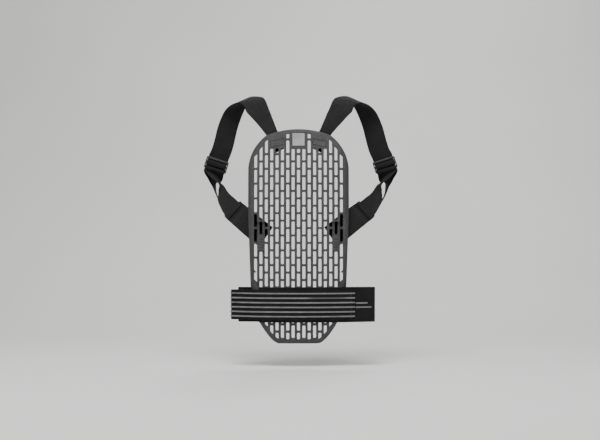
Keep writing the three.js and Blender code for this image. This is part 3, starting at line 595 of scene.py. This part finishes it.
def shape_rim(piece, field):
    """Draws the plate's outer wall out to the outline, with a rounded slope to the outer face."""
    ring = outline_ring(RIM_WIDTH)
    inward = mitres(ring)

    def is_wall(face):
        return abs(face.normal.z) < 0.1 and outside_field(face.calc_center_median(), field)

    shares = (0, 0.25, 0.5, 0.75, 0.9)
    levels = [INNER_ROUND] + [RIM_DEPTH + (PLATE_DEPTH - RIM_DEPTH) * share for share in shares]
    for level in levels:
        pick(piece, "FACE", is_wall)
        bpy.ops.mesh.bisect(plane_co=(0, 0, level), plane_no=(0, 0, 1), threshold=1e-6)
    mesh = bmesh.from_edit_mesh(piece.data)
    points = {point for face in mesh.faces if is_wall(face) for point in face.verts}
    corners = list(zip(ring, ring[1:] + ring[:1], inward))
    moves = []
    for point in points:
        place = point.co.xy
        away = RIM_WIDTH
        if point.co.z > RIM_DEPTH:
            share = (point.co.z - RIM_DEPTH) / (PLATE_DEPTH - RIM_DEPTH)
            away = RIM_WIDTH * max(0, 1 - share**1.5) ** 0.85
        elif point.co.z < INNER_ROUND:
            away = RIM_WIDTH - (INNER_ROUND - point.co.z)
        nearest = (1, None)
        for start, end, mitre in corners:
            along = end - start
            share = min(1, max(0, (place - start).dot(along) / along.length_squared))
            apart = (place - start - along * share).length
            if (place - start).length < SAME_PLACE:
                nearest = (-1, mitre)
            elif apart < nearest[0]:
                nearest = (apart, Vector((along.y, -along.x)).normalized())
        moves.append((point, nearest[1] * away))
    for point, move in moves:
        point.co.x -= move.x
        point.co.y -= move.y
    bmesh.update_edit_mesh(piece.data)


def build_plate(settings):
    deselect_all()
    bpy.ops.mesh.primitive_plane_add(size=1, location=(0, 0, 0))
    piece = bpy.context.object
    piece.name = "foam_plate"
    edit(piece)
    bpy.ops.mesh.select_all(action="SELECT")
    bpy.ops.transform.resize(value=(PLATE_WIDTH, PLATE_HEIGHT, 1))
    bpy.ops.transform.translate(value=(0, 0, PLATE_DEPTH))
    slots = cut_sheet(piece, settings)
    pick(piece, "FACE", lambda face: in_slot(face, slots, settings))
    bpy.ops.mesh.delete(type="FACE")
    bpy.ops.mesh.select_all(action="SELECT")
    bpy.ops.mesh.extrude_region_move(TRANSFORM_OT_translate={"value": (0, 0, -PLATE_DEPTH)})
    bpy.ops.mesh.select_all(action="SELECT")
    bpy.ops.mesh.normals_make_consistent(inside=False)
    field = outline_ring((RIM_WIDTH + FIELD_MARGIN) / 2)
    round_slots(piece, field)
    spare = 2 * PIECE_GAP
    sink_pocket(piece, 0, BADGE_UP, BADGE_WIDTH + spare, BADGE_HEIGHT + spare, 0, BADGE_POCKET)
    for side in (-1, 1):
        sink_channel(piece, side, settings)
        sink_pocket(
            piece, side * MARKING_OUT, MARKING_UP, MARKING_WIDTH + spare, MARKING_HEIGHT + spare,
            -side * MARKING_TILT, MARKING_POCKET)
    shape_rim(piece, field)
    finish_edit(piece)
    bow(piece)
    smooth(piece, 35)
    return piece


def first_ring(mesh):
    """The four points at the end of a band's solid that lies nearer the middle of the back."""
    ends = [point for point in mesh.verts if len(point.link_edges) < 6]
    ends.sort(key=lambda point: abs(point.co.x))
    if len(ends) == len(mesh.verts):
        return ends[:4]
    ring = ends[:1]
    while len(ring) < 4:
        linked = {edge.other_vert(point) for point in ring for edge in point.link_edges}
        ring += [point for point in ends if point in linked and point not in ring]
    return ring


def stations(node):
    """The middle line of a band's solid, each place with the way across from one edge to the other."""
    mesh = bmesh.new()
    mesh.from_mesh(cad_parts[node].data)
    bmesh.ops.remove_doubles(mesh, verts=mesh.verts, dist=1e-6)
    ring = first_ring(mesh)
    corner = ring[0].co
    ring = sorted(ring, key=lambda point: (point.co - corner).length)
    seen = set(ring)
    found = []
    while ring:
        first = (ring[0].co + ring[1].co) / 2
        across = (ring[2].co + ring[3].co) / 2 - first
        found.append({"middle": first + across / 2, "across": across})
        ring = {edge.other_vert(point) for point in ring for edge in point.link_edges} - seen
        seen |= ring
        ring = sorted(ring, key=lambda point: point.co.dot(across))
    mesh.free()
    if sum(place["across"].z for place in found) < 0:
        for place in found:
            place["across"] = -place["across"]
    return found


def curve_point(points, index, share):
    """A place on the smooth curve through the points, between one of them and the next."""
    start, end = points[index], points[index + 1]
    before = points[index - 1] if index else start * 2 - end
    after = points[index + 2] if index + 2 < len(points) else end * 2 - start
    knots = [0]
    for first, second in ((before, start), (start, end), (end, after)):
        knots.append(knots[-1] + max(1e-6, (second - first).length) ** 0.5)
    at = knots[1] + share * (knots[2] - knots[1])

    def mix(first, second, low, high):
        return first * ((high - at) / (high - low)) + second * ((at - low) / (high - low))

    a = mix(before, start, knots[0], knots[1])
    b = mix(start, end, knots[1], knots[2])
    c = mix(end, after, knots[2], knots[3])
    return mix(mix(a, b, knots[0], knots[2]), mix(b, c, knots[1], knots[3]), knots[1], knots[2])


def course_of(node, spacing):
    """A band's course in short steps, each with its length so far, middle, way across and face."""
    places = stations(node)
    middles = [place["middle"] for place in places]
    steps = []
    for index in range(len(places) - 1):
        reach = (middles[index + 1] - middles[index]).length
        count = max(2, math.ceil(reach / spacing))
        for step in range(count):
            share = step / count
            across = places[index]["across"].lerp(places[index + 1]["across"], share)
            steps.append({"middle": curve_point(middles, index, share), "across": across})
    steps.append(dict(places[-1]))
    length = 0
    for index, step in enumerate(steps):
        before = steps[max(0, index - 1)]["middle"]
        after = steps[min(len(steps) - 1, index + 1)]["middle"]
        length += (step["middle"] - before).length
        step["length"] = length
        step["face"] = (after - before).cross(step["across"]).normalized()
    return steps


def grid_along(name, course, columns, lift_of):
    """A sheet of cells along a course, with its lengths and widths kept as the piece's own map."""
    deselect_all()
    rows = len(course) - 1
    bpy.ops.mesh.primitive_grid_add(x_subdivisions=rows, y_subdivisions=columns, size=1, calc_uvs=True)
    piece = bpy.context.object
    piece.name = name
    mesh = bmesh.new()
    mesh.from_mesh(piece.data)
    weave = mesh.loops.layers.uv.verify()
    for face in mesh.faces:
        for corner in face.loops:
            step = course[round((corner.vert.co.x + 0.5) * rows)]
            across = corner.vert.co.y * step["across"].length
            corner[weave].uv = (step["length"], across)
    for point in mesh.verts:
        step = course[round((point.co.x + 0.5) * rows)]
        across = point.co.y
        place = step["middle"] + step["across"] * across
        point.co = place + step["face"] * lift_of(step, across)
    mesh.to_mesh(piece.data)
    mesh.free()
    return piece


def thicken(piece, thickness, edge):
    """Gives a sheet its thickness on both sides and rounds its edges."""
    apply_modifier(
        piece, "SOLIDIFY", thickness=thickness, offset=0, use_even_offset=True, thickness_clamp=1)
    apply_modifier(
        piece, "BEVEL", width=edge, segments=2, limit_method="ANGLE", angle_limit=math.radians(60),
        use_clamp_overlap=False)
    edit(piece)
    bpy.ops.mesh.select_all(action="SELECT")
    bpy.ops.mesh.normals_make_consistent(inside=False)
    finish_edit(piece)
    smooth(piece, 50)


def ripple(step, across, size, reach):
    """A soft unevenness of cloth, greater towards its edges."""
    place = step["middle"] + step["across"] * across
    return size * noise.noise(place / reach) * (0.5 + abs(across))


def calm(course):
    """Notes how free each step is: nothing moves inside an adjuster, and all does a little away from it."""
    held = [sum(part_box("slide_adjuster_" + side), Vector()) / 2 for side in ("right", "left")]
    for step in course:
        nearest = min((step["middle"] - middle).length for middle in held)
        step["free"] = min(1, max(0, nearest / HELD_REACH - 1))


def strap_lift(step, across, total):
    lift = ripple(step, across, STRAP_RIPPLE, STRAP_RIPPLE_REACH)
    for fold in CREST_FOLDS:
        away = (step["length"] - fold["at"] * total) / fold["along"]
        wave = math.sin(2 * math.pi * across * step["across"].length / fold["apart"])
        lift += fold["deep"] * math.exp(-away**2) * wave
    return lift * step["free"]


def on_course(course, length, across):
    """A place on a band at a length along it and a share across it, with the band's face there."""
    later = next((index for index, step in enumerate(course) if step["length"] >= length), len(course) - 1)
    later = max(1, later)
    before, after = course[later - 1], course[later]
    share = (length - before["length"]) / max(1e-9, after["length"] - before["length"])
    middle = before["middle"].lerp(after["middle"], share)
    return middle + before["across"].lerp(after["across"], share) * across, after["face"]


def one_stitch():
    """One short stitch with drawn-in ends, lying along Z at the origin."""
    deselect_all()
    bpy.ops.mesh.primitive_cylinder_add(vertices=6, radius=STITCH_RADIUS, depth=STITCH_LENGTH)
    stitch = bpy.context.object
    edit(stitch)
    pick(stitch, "FACE", lambda face: abs(face.normal.z) > 0.9)
    bpy.ops.mesh.inset(thickness=STITCH_RADIUS * 0.5, depth=STITCH_RADIUS * 0.4, use_individual=True)
    finish_edit(stitch)
    return stitch


def sew(name, node, rows, thickness, finish):
    """Rows of stitches on a band, as one mesh. A row goes from one length and share across to another."""
    course = course_of(node, COURSE_STEP)
    total = course[-1]["length"]
    pattern = one_stitch()
    made = []
    for row in rows:
        start = Vector((row["start"][0] % total, row["start"][1]))
        end = Vector((row["end"][0] % total, row["end"][1]))
        reach = (on_course(course, *end)[0] - on_course(course, *start)[0]).length
        count = max(1, round(reach / STITCH_PITCH))
        for number in range(count):
            here, face = on_course(course, *start.lerp(end, (number + 0.2) / count))
            there = on_course(course, *start.lerp(end, (number + 0.8) / count))[0]
            side = 1 if face.dot(Vector(row["towards"])) > 0 else -1
            turn = (there - here).to_track_quat("Z", "Y").to_matrix().to_4x4()
            lifted = (here + there) / 2 + face * side * (thickness / 2 + STITCH_RADIUS * 0.3)
            stitch = pattern.copy()
            stitch.data = pattern.data.copy()
            stitch.data.transform(Matrix.Translation(lifted) @ turn)
            bpy.context.collection.objects.link(stitch)
            made.append(stitch)
    bpy.data.objects.remove(pattern)
    deselect_all()
    for stitch in made:
        stitch.select_set(True)
    bpy.context.view_layer.objects.active = made[0]
    bpy.ops.object.join()
    piece = bpy.context.object
    piece.name = name
    smooth(piece, 50)
    piece.data.materials.append(finish)
    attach(piece, "root")
    return piece


class Finish:
    """A material that is built up node by node."""

    def __init__(self, name, roughness, **sockets):
        self.material = bpy.data.materials.new(name)
        self.material.use_nodes = True
        self.tree = self.material.node_tree
        self.shader = self.tree.nodes["Principled BSDF"]
        self.shader.inputs["Roughness"].default_value = roughness
        for socket, value in sockets.items():
            self.shader.inputs[socket.replace("_", " ")].default_value = value

    def node(self, kind, inputs=None, **values):
        """Adds a node. An input is a number, a colour or another node's output."""
        made = self.tree.nodes.new("ShaderNode" + kind)
        for name, value in values.items():
            setattr(made, name, value)
        for name, value in (inputs or {}).items():
            if isinstance(value, bpy.types.NodeSocket):
                self.tree.links.new(value, made.inputs[name])
            else:
                made.inputs[name].default_value = value
        return made

    def place(self):
        return self.node("TexCoord").outputs["Object"]

    def patches(self, scale, detail=3.0):
        """Even noise from 0 to 1 in the piece's own space, with so many patches to a metre."""
        sockets = {"Vector": self.place(), "Scale": scale, "Detail": detail}
        return self.node("TexNoise", sockets).outputs["Fac"]

    def mathed(self, operation, first, second=0.0):
        return self.node("Math", {0: first, 1: second}, operation=operation).outputs[0]

    def ranged(self, value, low, high):
        sockets = {"Value": value, "From Min": 0.3, "From Max": 0.7, "To Min": low, "To Max": high}
        return self.node("MapRange", sockets).outputs["Result"]

    def tinted(self, colour, share):
        """The colour, made darker or lighter by a share that varies over the surface."""
        tint = self.node("Mix", data_type="RGBA", blend_type="MULTIPLY")
        tint.inputs[0].default_value = 1
        tint.inputs[6].default_value = (*colour[:3], 1)
        self.tree.links.new(share, tint.inputs[7])
        self.tree.links.new(tint.outputs[2], self.shader.inputs["Base Color"])

    def bump(self, height, distance, strength=1.0, under=None):
        inputs = {"Height": height, "Distance": distance, "Strength": strength}
        if under is not None:
            inputs["Normal"] = under
        return self.node("Bump", inputs).outputs["Normal"]

    def done(self, normal, roughness=None):
        self.tree.links.new(normal, self.shader.inputs["Normal"])
        if roughness is not None:
            self.tree.links.new(roughness, self.shader.inputs["Roughness"])
        return self.material

    def waves(self, axis, pitch):
        """A wave from -1 to 1 along one axis of the piece's own map, which is in metres."""
        lengths = self.node("UVMap").outputs["UV"]
        value = self.node("SeparateXYZ", {"Vector": lengths}).outputs[axis]
        return self.mathed("SINE", self.mathed("MULTIPLY", value, 2 * math.pi / pitch))


def foam_finish(colour):
    finish = Finish("foam", 0.78, Specular_IOR_Level=0.25)
    share = finish.mathed(
        "MULTIPLY", finish.ranged(finish.patches(14), 0.82, 1.14),
        finish.ranged(finish.patches(260, 5), 0.8, 1.22))
    finish.tinted(colour, share)
    cells = finish.node("TexVoronoi", {"Vector": finish.place(), "Scale": 1300.0}).outputs["Distance"]
    grain = finish.bump(cells, 0.00025, 0.5)
    dents = finish.bump(finish.patches(90, 4), 0.0012, 0.35, grain)
    return finish.done(dents, finish.ranged(finish.patches(60), 0.66, 0.86))


def webbing_finish(colour, weave):
    finish = Finish("webbing", 0.85, Specular_IOR_Level=0.14, Sheen_Weight=0.04, Sheen_Roughness=0.4)
    picks = finish.waves("X", weave)
    ends = finish.waves("Y", weave * 0.8)
    cloth = finish.mathed("MULTIPLY", picks, ends)
    share = finish.mathed(
        "MULTIPLY", finish.ranged(finish.patches(30), 0.84, 1.2),
        finish.mathed("ADD", finish.mathed("MULTIPLY", cloth, 0.22), 1.0))
    finish.tinted(colour, share)
    woven = finish.bump(cloth, 0.0003, 0.7)
    fuzz = finish.bump(finish.patches(2200, 2), 0.0002, 0.4, woven)
    return finish.done(fuzz, finish.ranged(finish.patches(120), 0.7, 0.9))


def elastic_finish(colour, rib):
    finish = Finish("elastic", 0.85, Specular_IOR_Level=0.1, Sheen_Weight=0.03, Sheen_Roughness=0.4)
    ribs = finish.waves("Y", rib)
    crimp = finish.waves("X", rib * 0.55)
    cloth = finish.mathed("ADD", ribs, finish.mathed("MULTIPLY", crimp, 0.35))
    share = finish.mathed(
        "MULTIPLY", finish.ranged(finish.patches(24), 0.8, 1.25),
        finish.mathed("ADD", finish.mathed("MULTIPLY", ribs, 0.2), 1.0))
    finish.tinted(colour, share)
    woven = finish.bump(cloth, 0.0004, 0.7)
    fuzz = finish.bump(finish.patches(2000, 2), 0.0002, 0.4, woven)
    return finish.done(fuzz, finish.ranged(finish.patches(90), 0.76, 0.92))


def silicone_finish(colour):
    finish = Finish("silicone", 0.5, Specular_IOR_Level=0.35)
    worn = finish.node("Attribute", attribute_name="worn").outputs["Fac"]
    left = finish.mathed("SUBTRACT", 1.0, finish.mathed("MULTIPLY", worn, 0.65))
    share = finish.mathed("MULTIPLY", finish.ranged(finish.patches(70, 4), 0.78, 1.15), left)
    finish.tinted(colour, share)
    print_marks = finish.bump(finish.patches(700, 3), 0.0003, 0.5)
    return finish.done(print_marks, finish.ranged(finish.patches(150), 0.42, 0.62))


def moulded_finish(name, colour, roughness, grain):
    finish = Finish(name, roughness, Specular_IOR_Level=0.5)
    finish.tinted(colour, finish.ranged(finish.patches(45, 4), 0.85, 1.15))
    pebbled = finish.bump(finish.patches(grain, 2), 0.00012, 0.5)
    return finish.done(pebbled, finish.ranged(finish.patches(110), roughness - 0.08, roughness + 0.1))


def thread_finish(colour):
    finish = Finish("thread", 0.7, Sheen_Weight=0.3)
    finish.tinted(colour, finish.ranged(finish.patches(900), 0.7, 1.3))
    return finish.done(finish.bump(finish.patches(3000, 1), 0.0001, 0.6))


def stage_finish(colour):
    finish = Finish("floor", 0.9, Specular_IOR_Level=0.2)
    finish.tinted(colour, finish.ranged(finish.patches(2), 0.97, 1.02))
    return finish.done(finish.bump(finish.patches(600, 2), 0.0001, 0.2))


def slab(name, out, up, width, height, low, high, tilt):
    """Starts a four-sided piece on the flat sheet, from one height to another, and opens it in edit mode."""
    deselect_all()
    bpy.ops.mesh.primitive_cube_add(
        size=1, location=(out, up, (low + high) / 2), rotation=(0, 0, tilt),
        scale=(width, height, high - low))
    piece = bpy.context.object
    piece.name = name
    bpy.ops.object.transform_apply(location=True, rotation=True, scale=True)
    edit(piece)
    return piece


def block(name, out, up, width, height, low, high, tilt=0.0):
    """A small block with rounded edges."""
    piece = slab(name, out, up, width, height, low, high, tilt)
    bpy.ops.mesh.select_all(action="SELECT")
    bpy.ops.mesh.bevel(offset=BLOCK_EDGE, offset_type="OFFSET", segments=2, affect="EDGES")
    finish_edit(piece)
    return piece


def tablet(name, out, up, width, height, low, high, tilt=0.0):
    """A flat piece with a raised border round a shallow field."""
    piece = slab(name, out, up, width, height, low, high, tilt)
    pick(piece, "FACE", lambda face: face.normal.z > 0.9)
    bpy.ops.mesh.inset(thickness=TABLET_BORDER, depth=0)
    bpy.ops.mesh.inset(thickness=TABLET_SUNK, depth=-TABLET_SUNK)
    pick(piece, "EDGE", lambda edge: edge.calc_face_angle() > math.radians(60) and not is_level_pair(edge))
    bpy.ops.mesh.bevel(offset=TABLET_EDGE, offset_type="OFFSET", segments=3, affect="EDGES")
    finish_edit(piece)
    return piece


def is_level_pair(edge):
    """Whether an edge lies at the bottom of a piece, where it isn't seen."""
    lowest = min(point.co.z for face in edge.link_faces for point in face.verts)
    return all(abs(point.co.z - lowest) < 1e-6 for point in edge.verts)


def fuse(name, pieces):
    """Joins small blocks to the piece that they stand on."""
    deselect_all()
    for piece in pieces:
        piece.select_set(True)
    bpy.context.view_layer.objects.active = pieces[0]
    bpy.ops.object.join()
    piece = bpy.context.object
    piece.name = name
    return piece


def build_badge():
    floor = PLATE_DEPTH - BADGE_POCKET + PIECE_GAP
    top = floor + BADGE_RISE
    pieces = [tablet("badge", 0, BADGE_UP, BADGE_WIDTH - 2 * GROOVE, BADGE_HEIGHT - 2 * GROOVE, floor, top)]
    for column in range(STUD_COLUMNS):
        for row in range(STUD_ROWS):
            out = ((column + 0.5) / STUD_COLUMNS - 0.5) * BADGE_WIDTH * STUD_FIELD
            up = BADGE_UP + ((row + 0.5) / STUD_ROWS - 0.5) * BADGE_HEIGHT * STUD_FIELD
            pieces.append(block("stud", out, up, STUD, STUD, top - TABLET_SUNK - RIB_ROOT, top + RAISED))
    return fuse("badge", pieces)


def build_marking(side):
    floor = PLATE_DEPTH - MARKING_POCKET + PIECE_GAP
    top = floor + MARKING_RISE
    tilt = -side * MARKING_TILT
    turn = Matrix.Rotation(tilt, 2)
    name = "marking_" + ("right" if side > 0 else "left")
    pieces = [tablet(
        name, side * MARKING_OUT, MARKING_UP, MARKING_WIDTH - 2 * GROOVE, MARKING_HEIGHT - 2 * GROOVE,
        floor, top, tilt)]
    for rib in range(MARKING_RIBS):
        along = ((rib + 0.5) / MARKING_RIBS - 0.5) * MARKING_WIDTH * MARKING_RIB_FIELD
        place = Vector((side * MARKING_OUT, MARKING_UP)) + turn @ Vector((along, 0))
        pieces.append(block(
            "rib", place.x, place.y, MARKING_RIB_WIDTH, MARKING_HEIGHT * MARKING_RIB_SHARE,
            top - TABLET_SUNK - RIB_ROOT, top + RAISED / 2, tilt + MARKING_RIB_TURN))
    return fuse(name, pieces)


def build_channel_pad(side, settings):
    floor = PLATE_DEPTH - CHANNEL_DEPTH + PIECE_GAP
    top = PLATE_DEPTH - PAD_BELOW_FACE
    out = side * CHANNEL_COLUMN * settings.slot_pitch
    width = 2 * (settings.slot_pitch - settings.slot_width / 2) - 2 * PIECE_GAP
    name = "channel_pad_piece_" + ("right" if side > 0 else "left")
    pieces = [tablet(name, out, PAD_TOP - PAD_HEIGHT / 2, width, PAD_HEIGHT, floor, top)]
    for rib in range(PAD_RIBS):
        up = PAD_TOP - (rib + 0.5) / PAD_RIBS * (PAD_HEIGHT - 2 * TABLET_BORDER) - TABLET_BORDER
        pieces.append(block(
            "rib", out, up, width * PAD_RIB_LENGTH, PAD_HEIGHT / PAD_RIBS * PAD_RIB_WIDTH,
            top - TABLET_SUNK - RIB_ROOT, top + RAISED))
    return fuse(name, pieces)


def build_adjuster(name, node, side):
    """A slide with two holes and a middle bar, moulded flat and then turned into its place."""
    deselect_all()
    bpy.ops.mesh.primitive_plane_add(size=1, location=(0, 0, 0))
    piece = bpy.context.object
    piece.name = name
    edit(piece)
    bpy.ops.mesh.select_all(action="SELECT")
    bpy.ops.transform.resize(value=(FRAME_WIDTH, FRAME_HEIGHT, 1))
    bpy.ops.transform.translate(value=(0, 0, -FRAME_THICK / 2))
    hole_end = FRAME_WIDTH / 2 - FRAME_SIDE
    hole_ends = (FRAME_BAR / 2, FRAME_HEIGHT / 2 - FRAME_BAR)
    for direction in (-1, 1):
        score(piece, lambda face: True, (direction * hole_end, 0), (1, 0))
        for away in hole_ends:
            score(piece, lambda face: True, (0, direction * away), (0, 1))

    def in_hole(face):
        place = face.calc_center_median()
        return abs(place.x) < hole_end and hole_ends[0] < abs(place.y) < hole_ends[1]

    pick(piece, "FACE", in_hole)
    bpy.ops.mesh.delete(type="FACE")
    bpy.ops.mesh.select_all(action="SELECT")
    bpy.ops.mesh.extrude_region_move(TRANSFORM_OT_translate={"value": (0, 0, FRAME_THICK)})
    bpy.ops.mesh.select_all(action="SELECT")
    bpy.ops.mesh.normals_make_consistent(inside=False)
    for outer, radius in ((True, FRAME_CORNER), (False, FRAME_HOLE_CORNER)):
        pick(piece, "EDGE", lambda edge: is_slot_corner(edge)
             and (abs(edge.verts[0].co.x) > FRAME_WIDTH / 2 - 1e-5) == outer)
        bpy.ops.mesh.bevel(offset=radius, offset_type="OFFSET", segments=4, affect="EDGES")
    pick(piece, "EDGE", lambda edge: edge.calc_face_angle() > math.radians(60) and not is_upright(edge))
    bpy.ops.mesh.bevel(
        offset=FRAME_ROUND, offset_type="OFFSET", segments=3, affect="EDGES", clamp_overlap=False)
    finish_edit(piece)
    low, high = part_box(node)
    turn = Matrix.Rotation(-side * FRAME_TILT, 4, "Y") @ Matrix.Rotation(math.pi / 2, 4, "X")
    piece.data.transform(Matrix.Translation((low + high) / 2) @ turn)
    smooth(piece, 40)
    return piece


def build_stage(settings):
    deselect_all()
    bpy.ops.mesh.primitive_plane_add(size=1, location=(0, 0, settings.floor_up))
    floor = bpy.context.object
    floor.name = "floor"
    edit(floor)
    bpy.ops.mesh.select_all(action="SELECT")
    bpy.ops.transform.resize(value=(FLOOR_ACROSS, FLOOR_ALONG, 1))
    bpy.ops.transform.translate(value=(0, FLOOR_FORWARDS, 0))
    pick(floor, "EDGE", lambda edge: all(point.co.y > 1 for point in edge.verts))
    bpy.ops.mesh.extrude_region_move(TRANSFORM_OT_translate={"value": (0, 0, WALL_HEIGHT)})
    pick(floor, "EDGE", lambda edge: all(point.co.y > 1 and point.co.z < 0.1 for point in edge.verts))
    bpy.ops.mesh.bevel(offset=WALL_ROUND, offset_type="OFFSET", segments=24, affect="EDGES")
    finish_edit(floor)
    smooth(floor, 30)
    floor.data.materials.append(stage_finish(settings.floor))
    for light in LIGHTS:
        bpy.ops.object.light_add(type="AREA", location=light["place"])
        lamp = bpy.context.object
        lamp.name = light["name"]
        lamp.data.energy = light["power"]
        lamp.data.size = light["size"]
        lamp.rotation_euler = (Vector((0, 0, 0)) - Vector(light["place"])).to_track_quat("-Z", "Y").to_euler()
    world = bpy.data.worlds.new("studio")
    world.use_nodes = True
    world.node_tree.nodes["Background"].inputs["Color"].default_value = (1, 1, 1, 1)
    world.node_tree.nodes["Background"].inputs["Strength"].default_value = WORLD_LIGHT
    bpy.context.scene.world = world
    bpy.ops.object.camera_add(
        location=(CAMERA_OUT, -settings.camera_away, CAMERA_UP), rotation=(math.pi / 2, 0, 0))
    camera = bpy.context.object
    camera.data.lens = settings.lens
    camera.data.sensor_width = 36
    bpy.context.scene.camera = camera


def strap(name, node, lift_of):
    course = course_of(node, COURSE_STEP)
    calm(course)
    total = course[-1]["length"]
    piece = grid_along(
        name, course, STRAP_COLUMNS,
        lambda step, across: lift_of(step, across, total))
    thicken(piece, WEBBING, STRAP_EDGE)
    return piece


def lower_lift(step, across, total):
    """Takes the strap's whole length too, as strap_lift does, and needs none of it."""
    return ripple(step, across, LOWER_RIPPLE, LOWER_RIPPLE_REACH) * step["free"]


def belt_lift(step, across):
    return ripple(step, across, BELT_RIPPLE, BELT_RIPPLE_REACH)


def stripe(node, number):
    course = course_of(node, STRIPE_STEP)
    front = min(course, key=lambda step: step["middle"].y)
    side = -1 if front["face"].y > 0 else 1
    piece = grid_along(
        node.replace("stripe", "line"), course, STRIPE_COLUMNS,
        lambda step, across: side * (STRIPE_CROWN * math.cos(math.pi * across) - PIECE_GAP / 2))
    thicken(piece, STRIPE_THICK + PIECE_GAP, STRIPE_EDGE)
    worn = piece.data.attributes.new("worn", "FLOAT", "POINT")
    for index, point in enumerate(piece.data.vertices):
        shares = [
            row["share"] * (1 - abs(2 * (point.co.x - row["from"]) / (row["to"] - row["from"]) - 1) ** 6)
            for row in WORN_STRIPES
            if row["number"] == number and row["from"] < point.co.x < row["to"] and point.co.y < 0.01
        ]
        worn.data[index].value = max(shares, default=0)
    return piece


class PROTECTOR_OT_stage(bpy.types.Operator):
    """Make the floor, the lights and the camera"""

    bl_idname = "protector.stage"
    bl_label = "Stage"

    def execute(self, context):
        build_stage(context.scene.protector_stage)
        return {"FINISHED"}


class PROTECTOR_OT_plate(bpy.types.Operator):
    """Model the slotted foam plate"""

    bl_idname = "protector.plate"
    bl_label = "Foam plate"

    def execute(self, context):
        settings = context.scene.protector_plate
        piece = build_plate(settings)
        seat(piece, foam_finish(settings.foam), "foam", "protector_plate")
        return {"FINISHED"}


class PROTECTOR_OT_set_in(bpy.types.Operator):
    """Model the badge, the marking pieces and the ribbed pads that are set into the foam"""

    bl_idname = "protector.set_in"
    bl_label = "Set-in pieces"

    def execute(self, context):
        settings = context.scene.protector_plate
        foam = moulded_finish("foam_pad", settings.foam, 0.7, 1500)
        badge = build_badge()
        bow(badge)
        smooth(badge, 40)
        seat(badge, moulded_finish("badge", settings.badge, 0.5, 1800), "badge", "badge_plaque")
        for name, side in SIDES:
            for piece, node in (
                (build_marking(side), "marking_pad_" + name),
                (build_channel_pad(side, settings), "channel_pad_" + name),
            ):
                bow(piece)
                smooth(piece, 40)
                seat(piece, foam, "foam", node)
        return {"FINISHED"}


class PROTECTOR_OT_straps(bpy.types.Operator):
    """Model the shoulder straps, the adjuster straps and the side straps"""

    bl_idname = "protector.straps"
    bl_label = "Straps"

    def execute(self, context):
        settings = context.scene.protector_straps
        webbing = webbing_finish(settings.webbing, settings.weave)
        for name, side in SIDES:
            for node, lift_of in (
                ("shoulder_strap_", strap_lift), ("adjuster_strap_", lower_lift), ("side_strap_", lower_lift),
            ):
                piece = strap(node.replace("strap", "web") + name, node + name, lift_of)
                seat(piece, webbing, "webbing", node + name)
        return {"FINISHED"}


class PROTECTOR_OT_adjusters(bpy.types.Operator):
    """Model the slide adjusters"""

    bl_idname = "protector.adjusters"
    bl_label = "Slide adjusters"

    def execute(self, context):
        plastic = moulded_finish("plastic", context.scene.protector_straps.plastic, 0.42, 2000)
        for name, side in SIDES:
            node = "slide_adjuster_" + name
            seat(build_adjuster("slide_" + name, node, side), plastic, "plastic", node)
        return {"FINISHED"}


class PROTECTOR_OT_belt(bpy.types.Operator):
    """Model the belt's band and its striped wing, with the stripes"""

    bl_idname = "protector.belt"
    bl_label = "Belt"

    def execute(self, context):
        settings = context.scene.protector_straps
        elastic = elastic_finish(settings.elastic, settings.rib)
        silicone = silicone_finish(settings.silicone)
        for name, node in (("elastic_band", "belt_band"), ("elastic_wing", "belt_striped_wing")):
            piece = grid_along(name, course_of(node, BELT_STEP), BELT_COLUMNS, belt_lift)
            thicken(piece, ELASTIC, BELT_EDGE)
            seat(piece, elastic, "elastic", node)
        for number in range(1, 7):
            node = f"grip_stripe_{number}"
            seat(stripe(node, number), silicone, "grip_silicone", node)
        for number in (1, 2):
            node = f"band_stripe_{number}"
            seat(stripe(node, 0), silicone, "grip_silicone", node)
        return {"FINISHED"}


class PROTECTOR_OT_stitches(bpy.types.Operator):
    """Sew the straps' ends and the belt's hems"""

    bl_idname = "protector.stitches"
    bl_label = "Stitches"

    def execute(self, context):
        thread = thread_finish(context.scene.protector_straps.thread)
        for kind, rows in STITCHED.items():
            for side, _ in SIDES:
                piece = sew("stitches_" + kind + side, kind + side, rows, WEBBING, thread)
        for node, rows in BELT_HEMS.items():
            piece = sew("stitches_" + node, node, rows, ELASTIC, thread)
        return {"FINISHED"}


class PROTECTOR_PT_panel(bpy.types.Panel):
    """Lists the pieces and their sizes"""

    bl_idname = "PROTECTOR_PT_panel"
    bl_label = "Back protector"
    bl_space_type = "VIEW_3D"
    bl_region_type = "UI"
    bl_category = "Back protector"

    def draw(self, context):
        for group in ("protector_plate", "protector_straps", "protector_stage"):
            settings = getattr(context.scene, group)
            box = self.layout.box()
            for name in settings.__annotations__:
                box.prop(settings, name)
        for operator in OPERATORS:
            self.layout.operator(operator.bl_idname)


SETTINGS = (
    ("protector_plate", PlateSettings),
    ("protector_straps", StrapSettings),
    ("protector_stage", StageSettings),
)
OPERATORS = (
    PROTECTOR_OT_stage,
    PROTECTOR_OT_plate,
    PROTECTOR_OT_set_in,
    PROTECTOR_OT_straps,
    PROTECTOR_OT_adjusters,
    PROTECTOR_OT_belt,
    PROTECTOR_OT_stitches,
)


def register():
    for name, group in SETTINGS:
        bpy.utils.register_class(group)
        setattr(bpy.types.Scene, name, bpy.props.PointerProperty(type=group))
    for part in (*OPERATORS, PROTECTOR_PT_panel):
        bpy.utils.register_class(part)


def unregister():
    for part in (PROTECTOR_PT_panel, *reversed(OPERATORS)):
        bpy.utils.unregister_class(part)
    for name, group in reversed(SETTINGS):
        delattr(bpy.types.Scene, name)
        bpy.utils.unregister_class(group)


def main():
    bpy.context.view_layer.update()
    register()
    for operator in OPERATORS:
        group, name = operator.bl_idname.split(".")
        getattr(getattr(bpy.ops, group), name)()


if __name__ == "__main__":
    main()
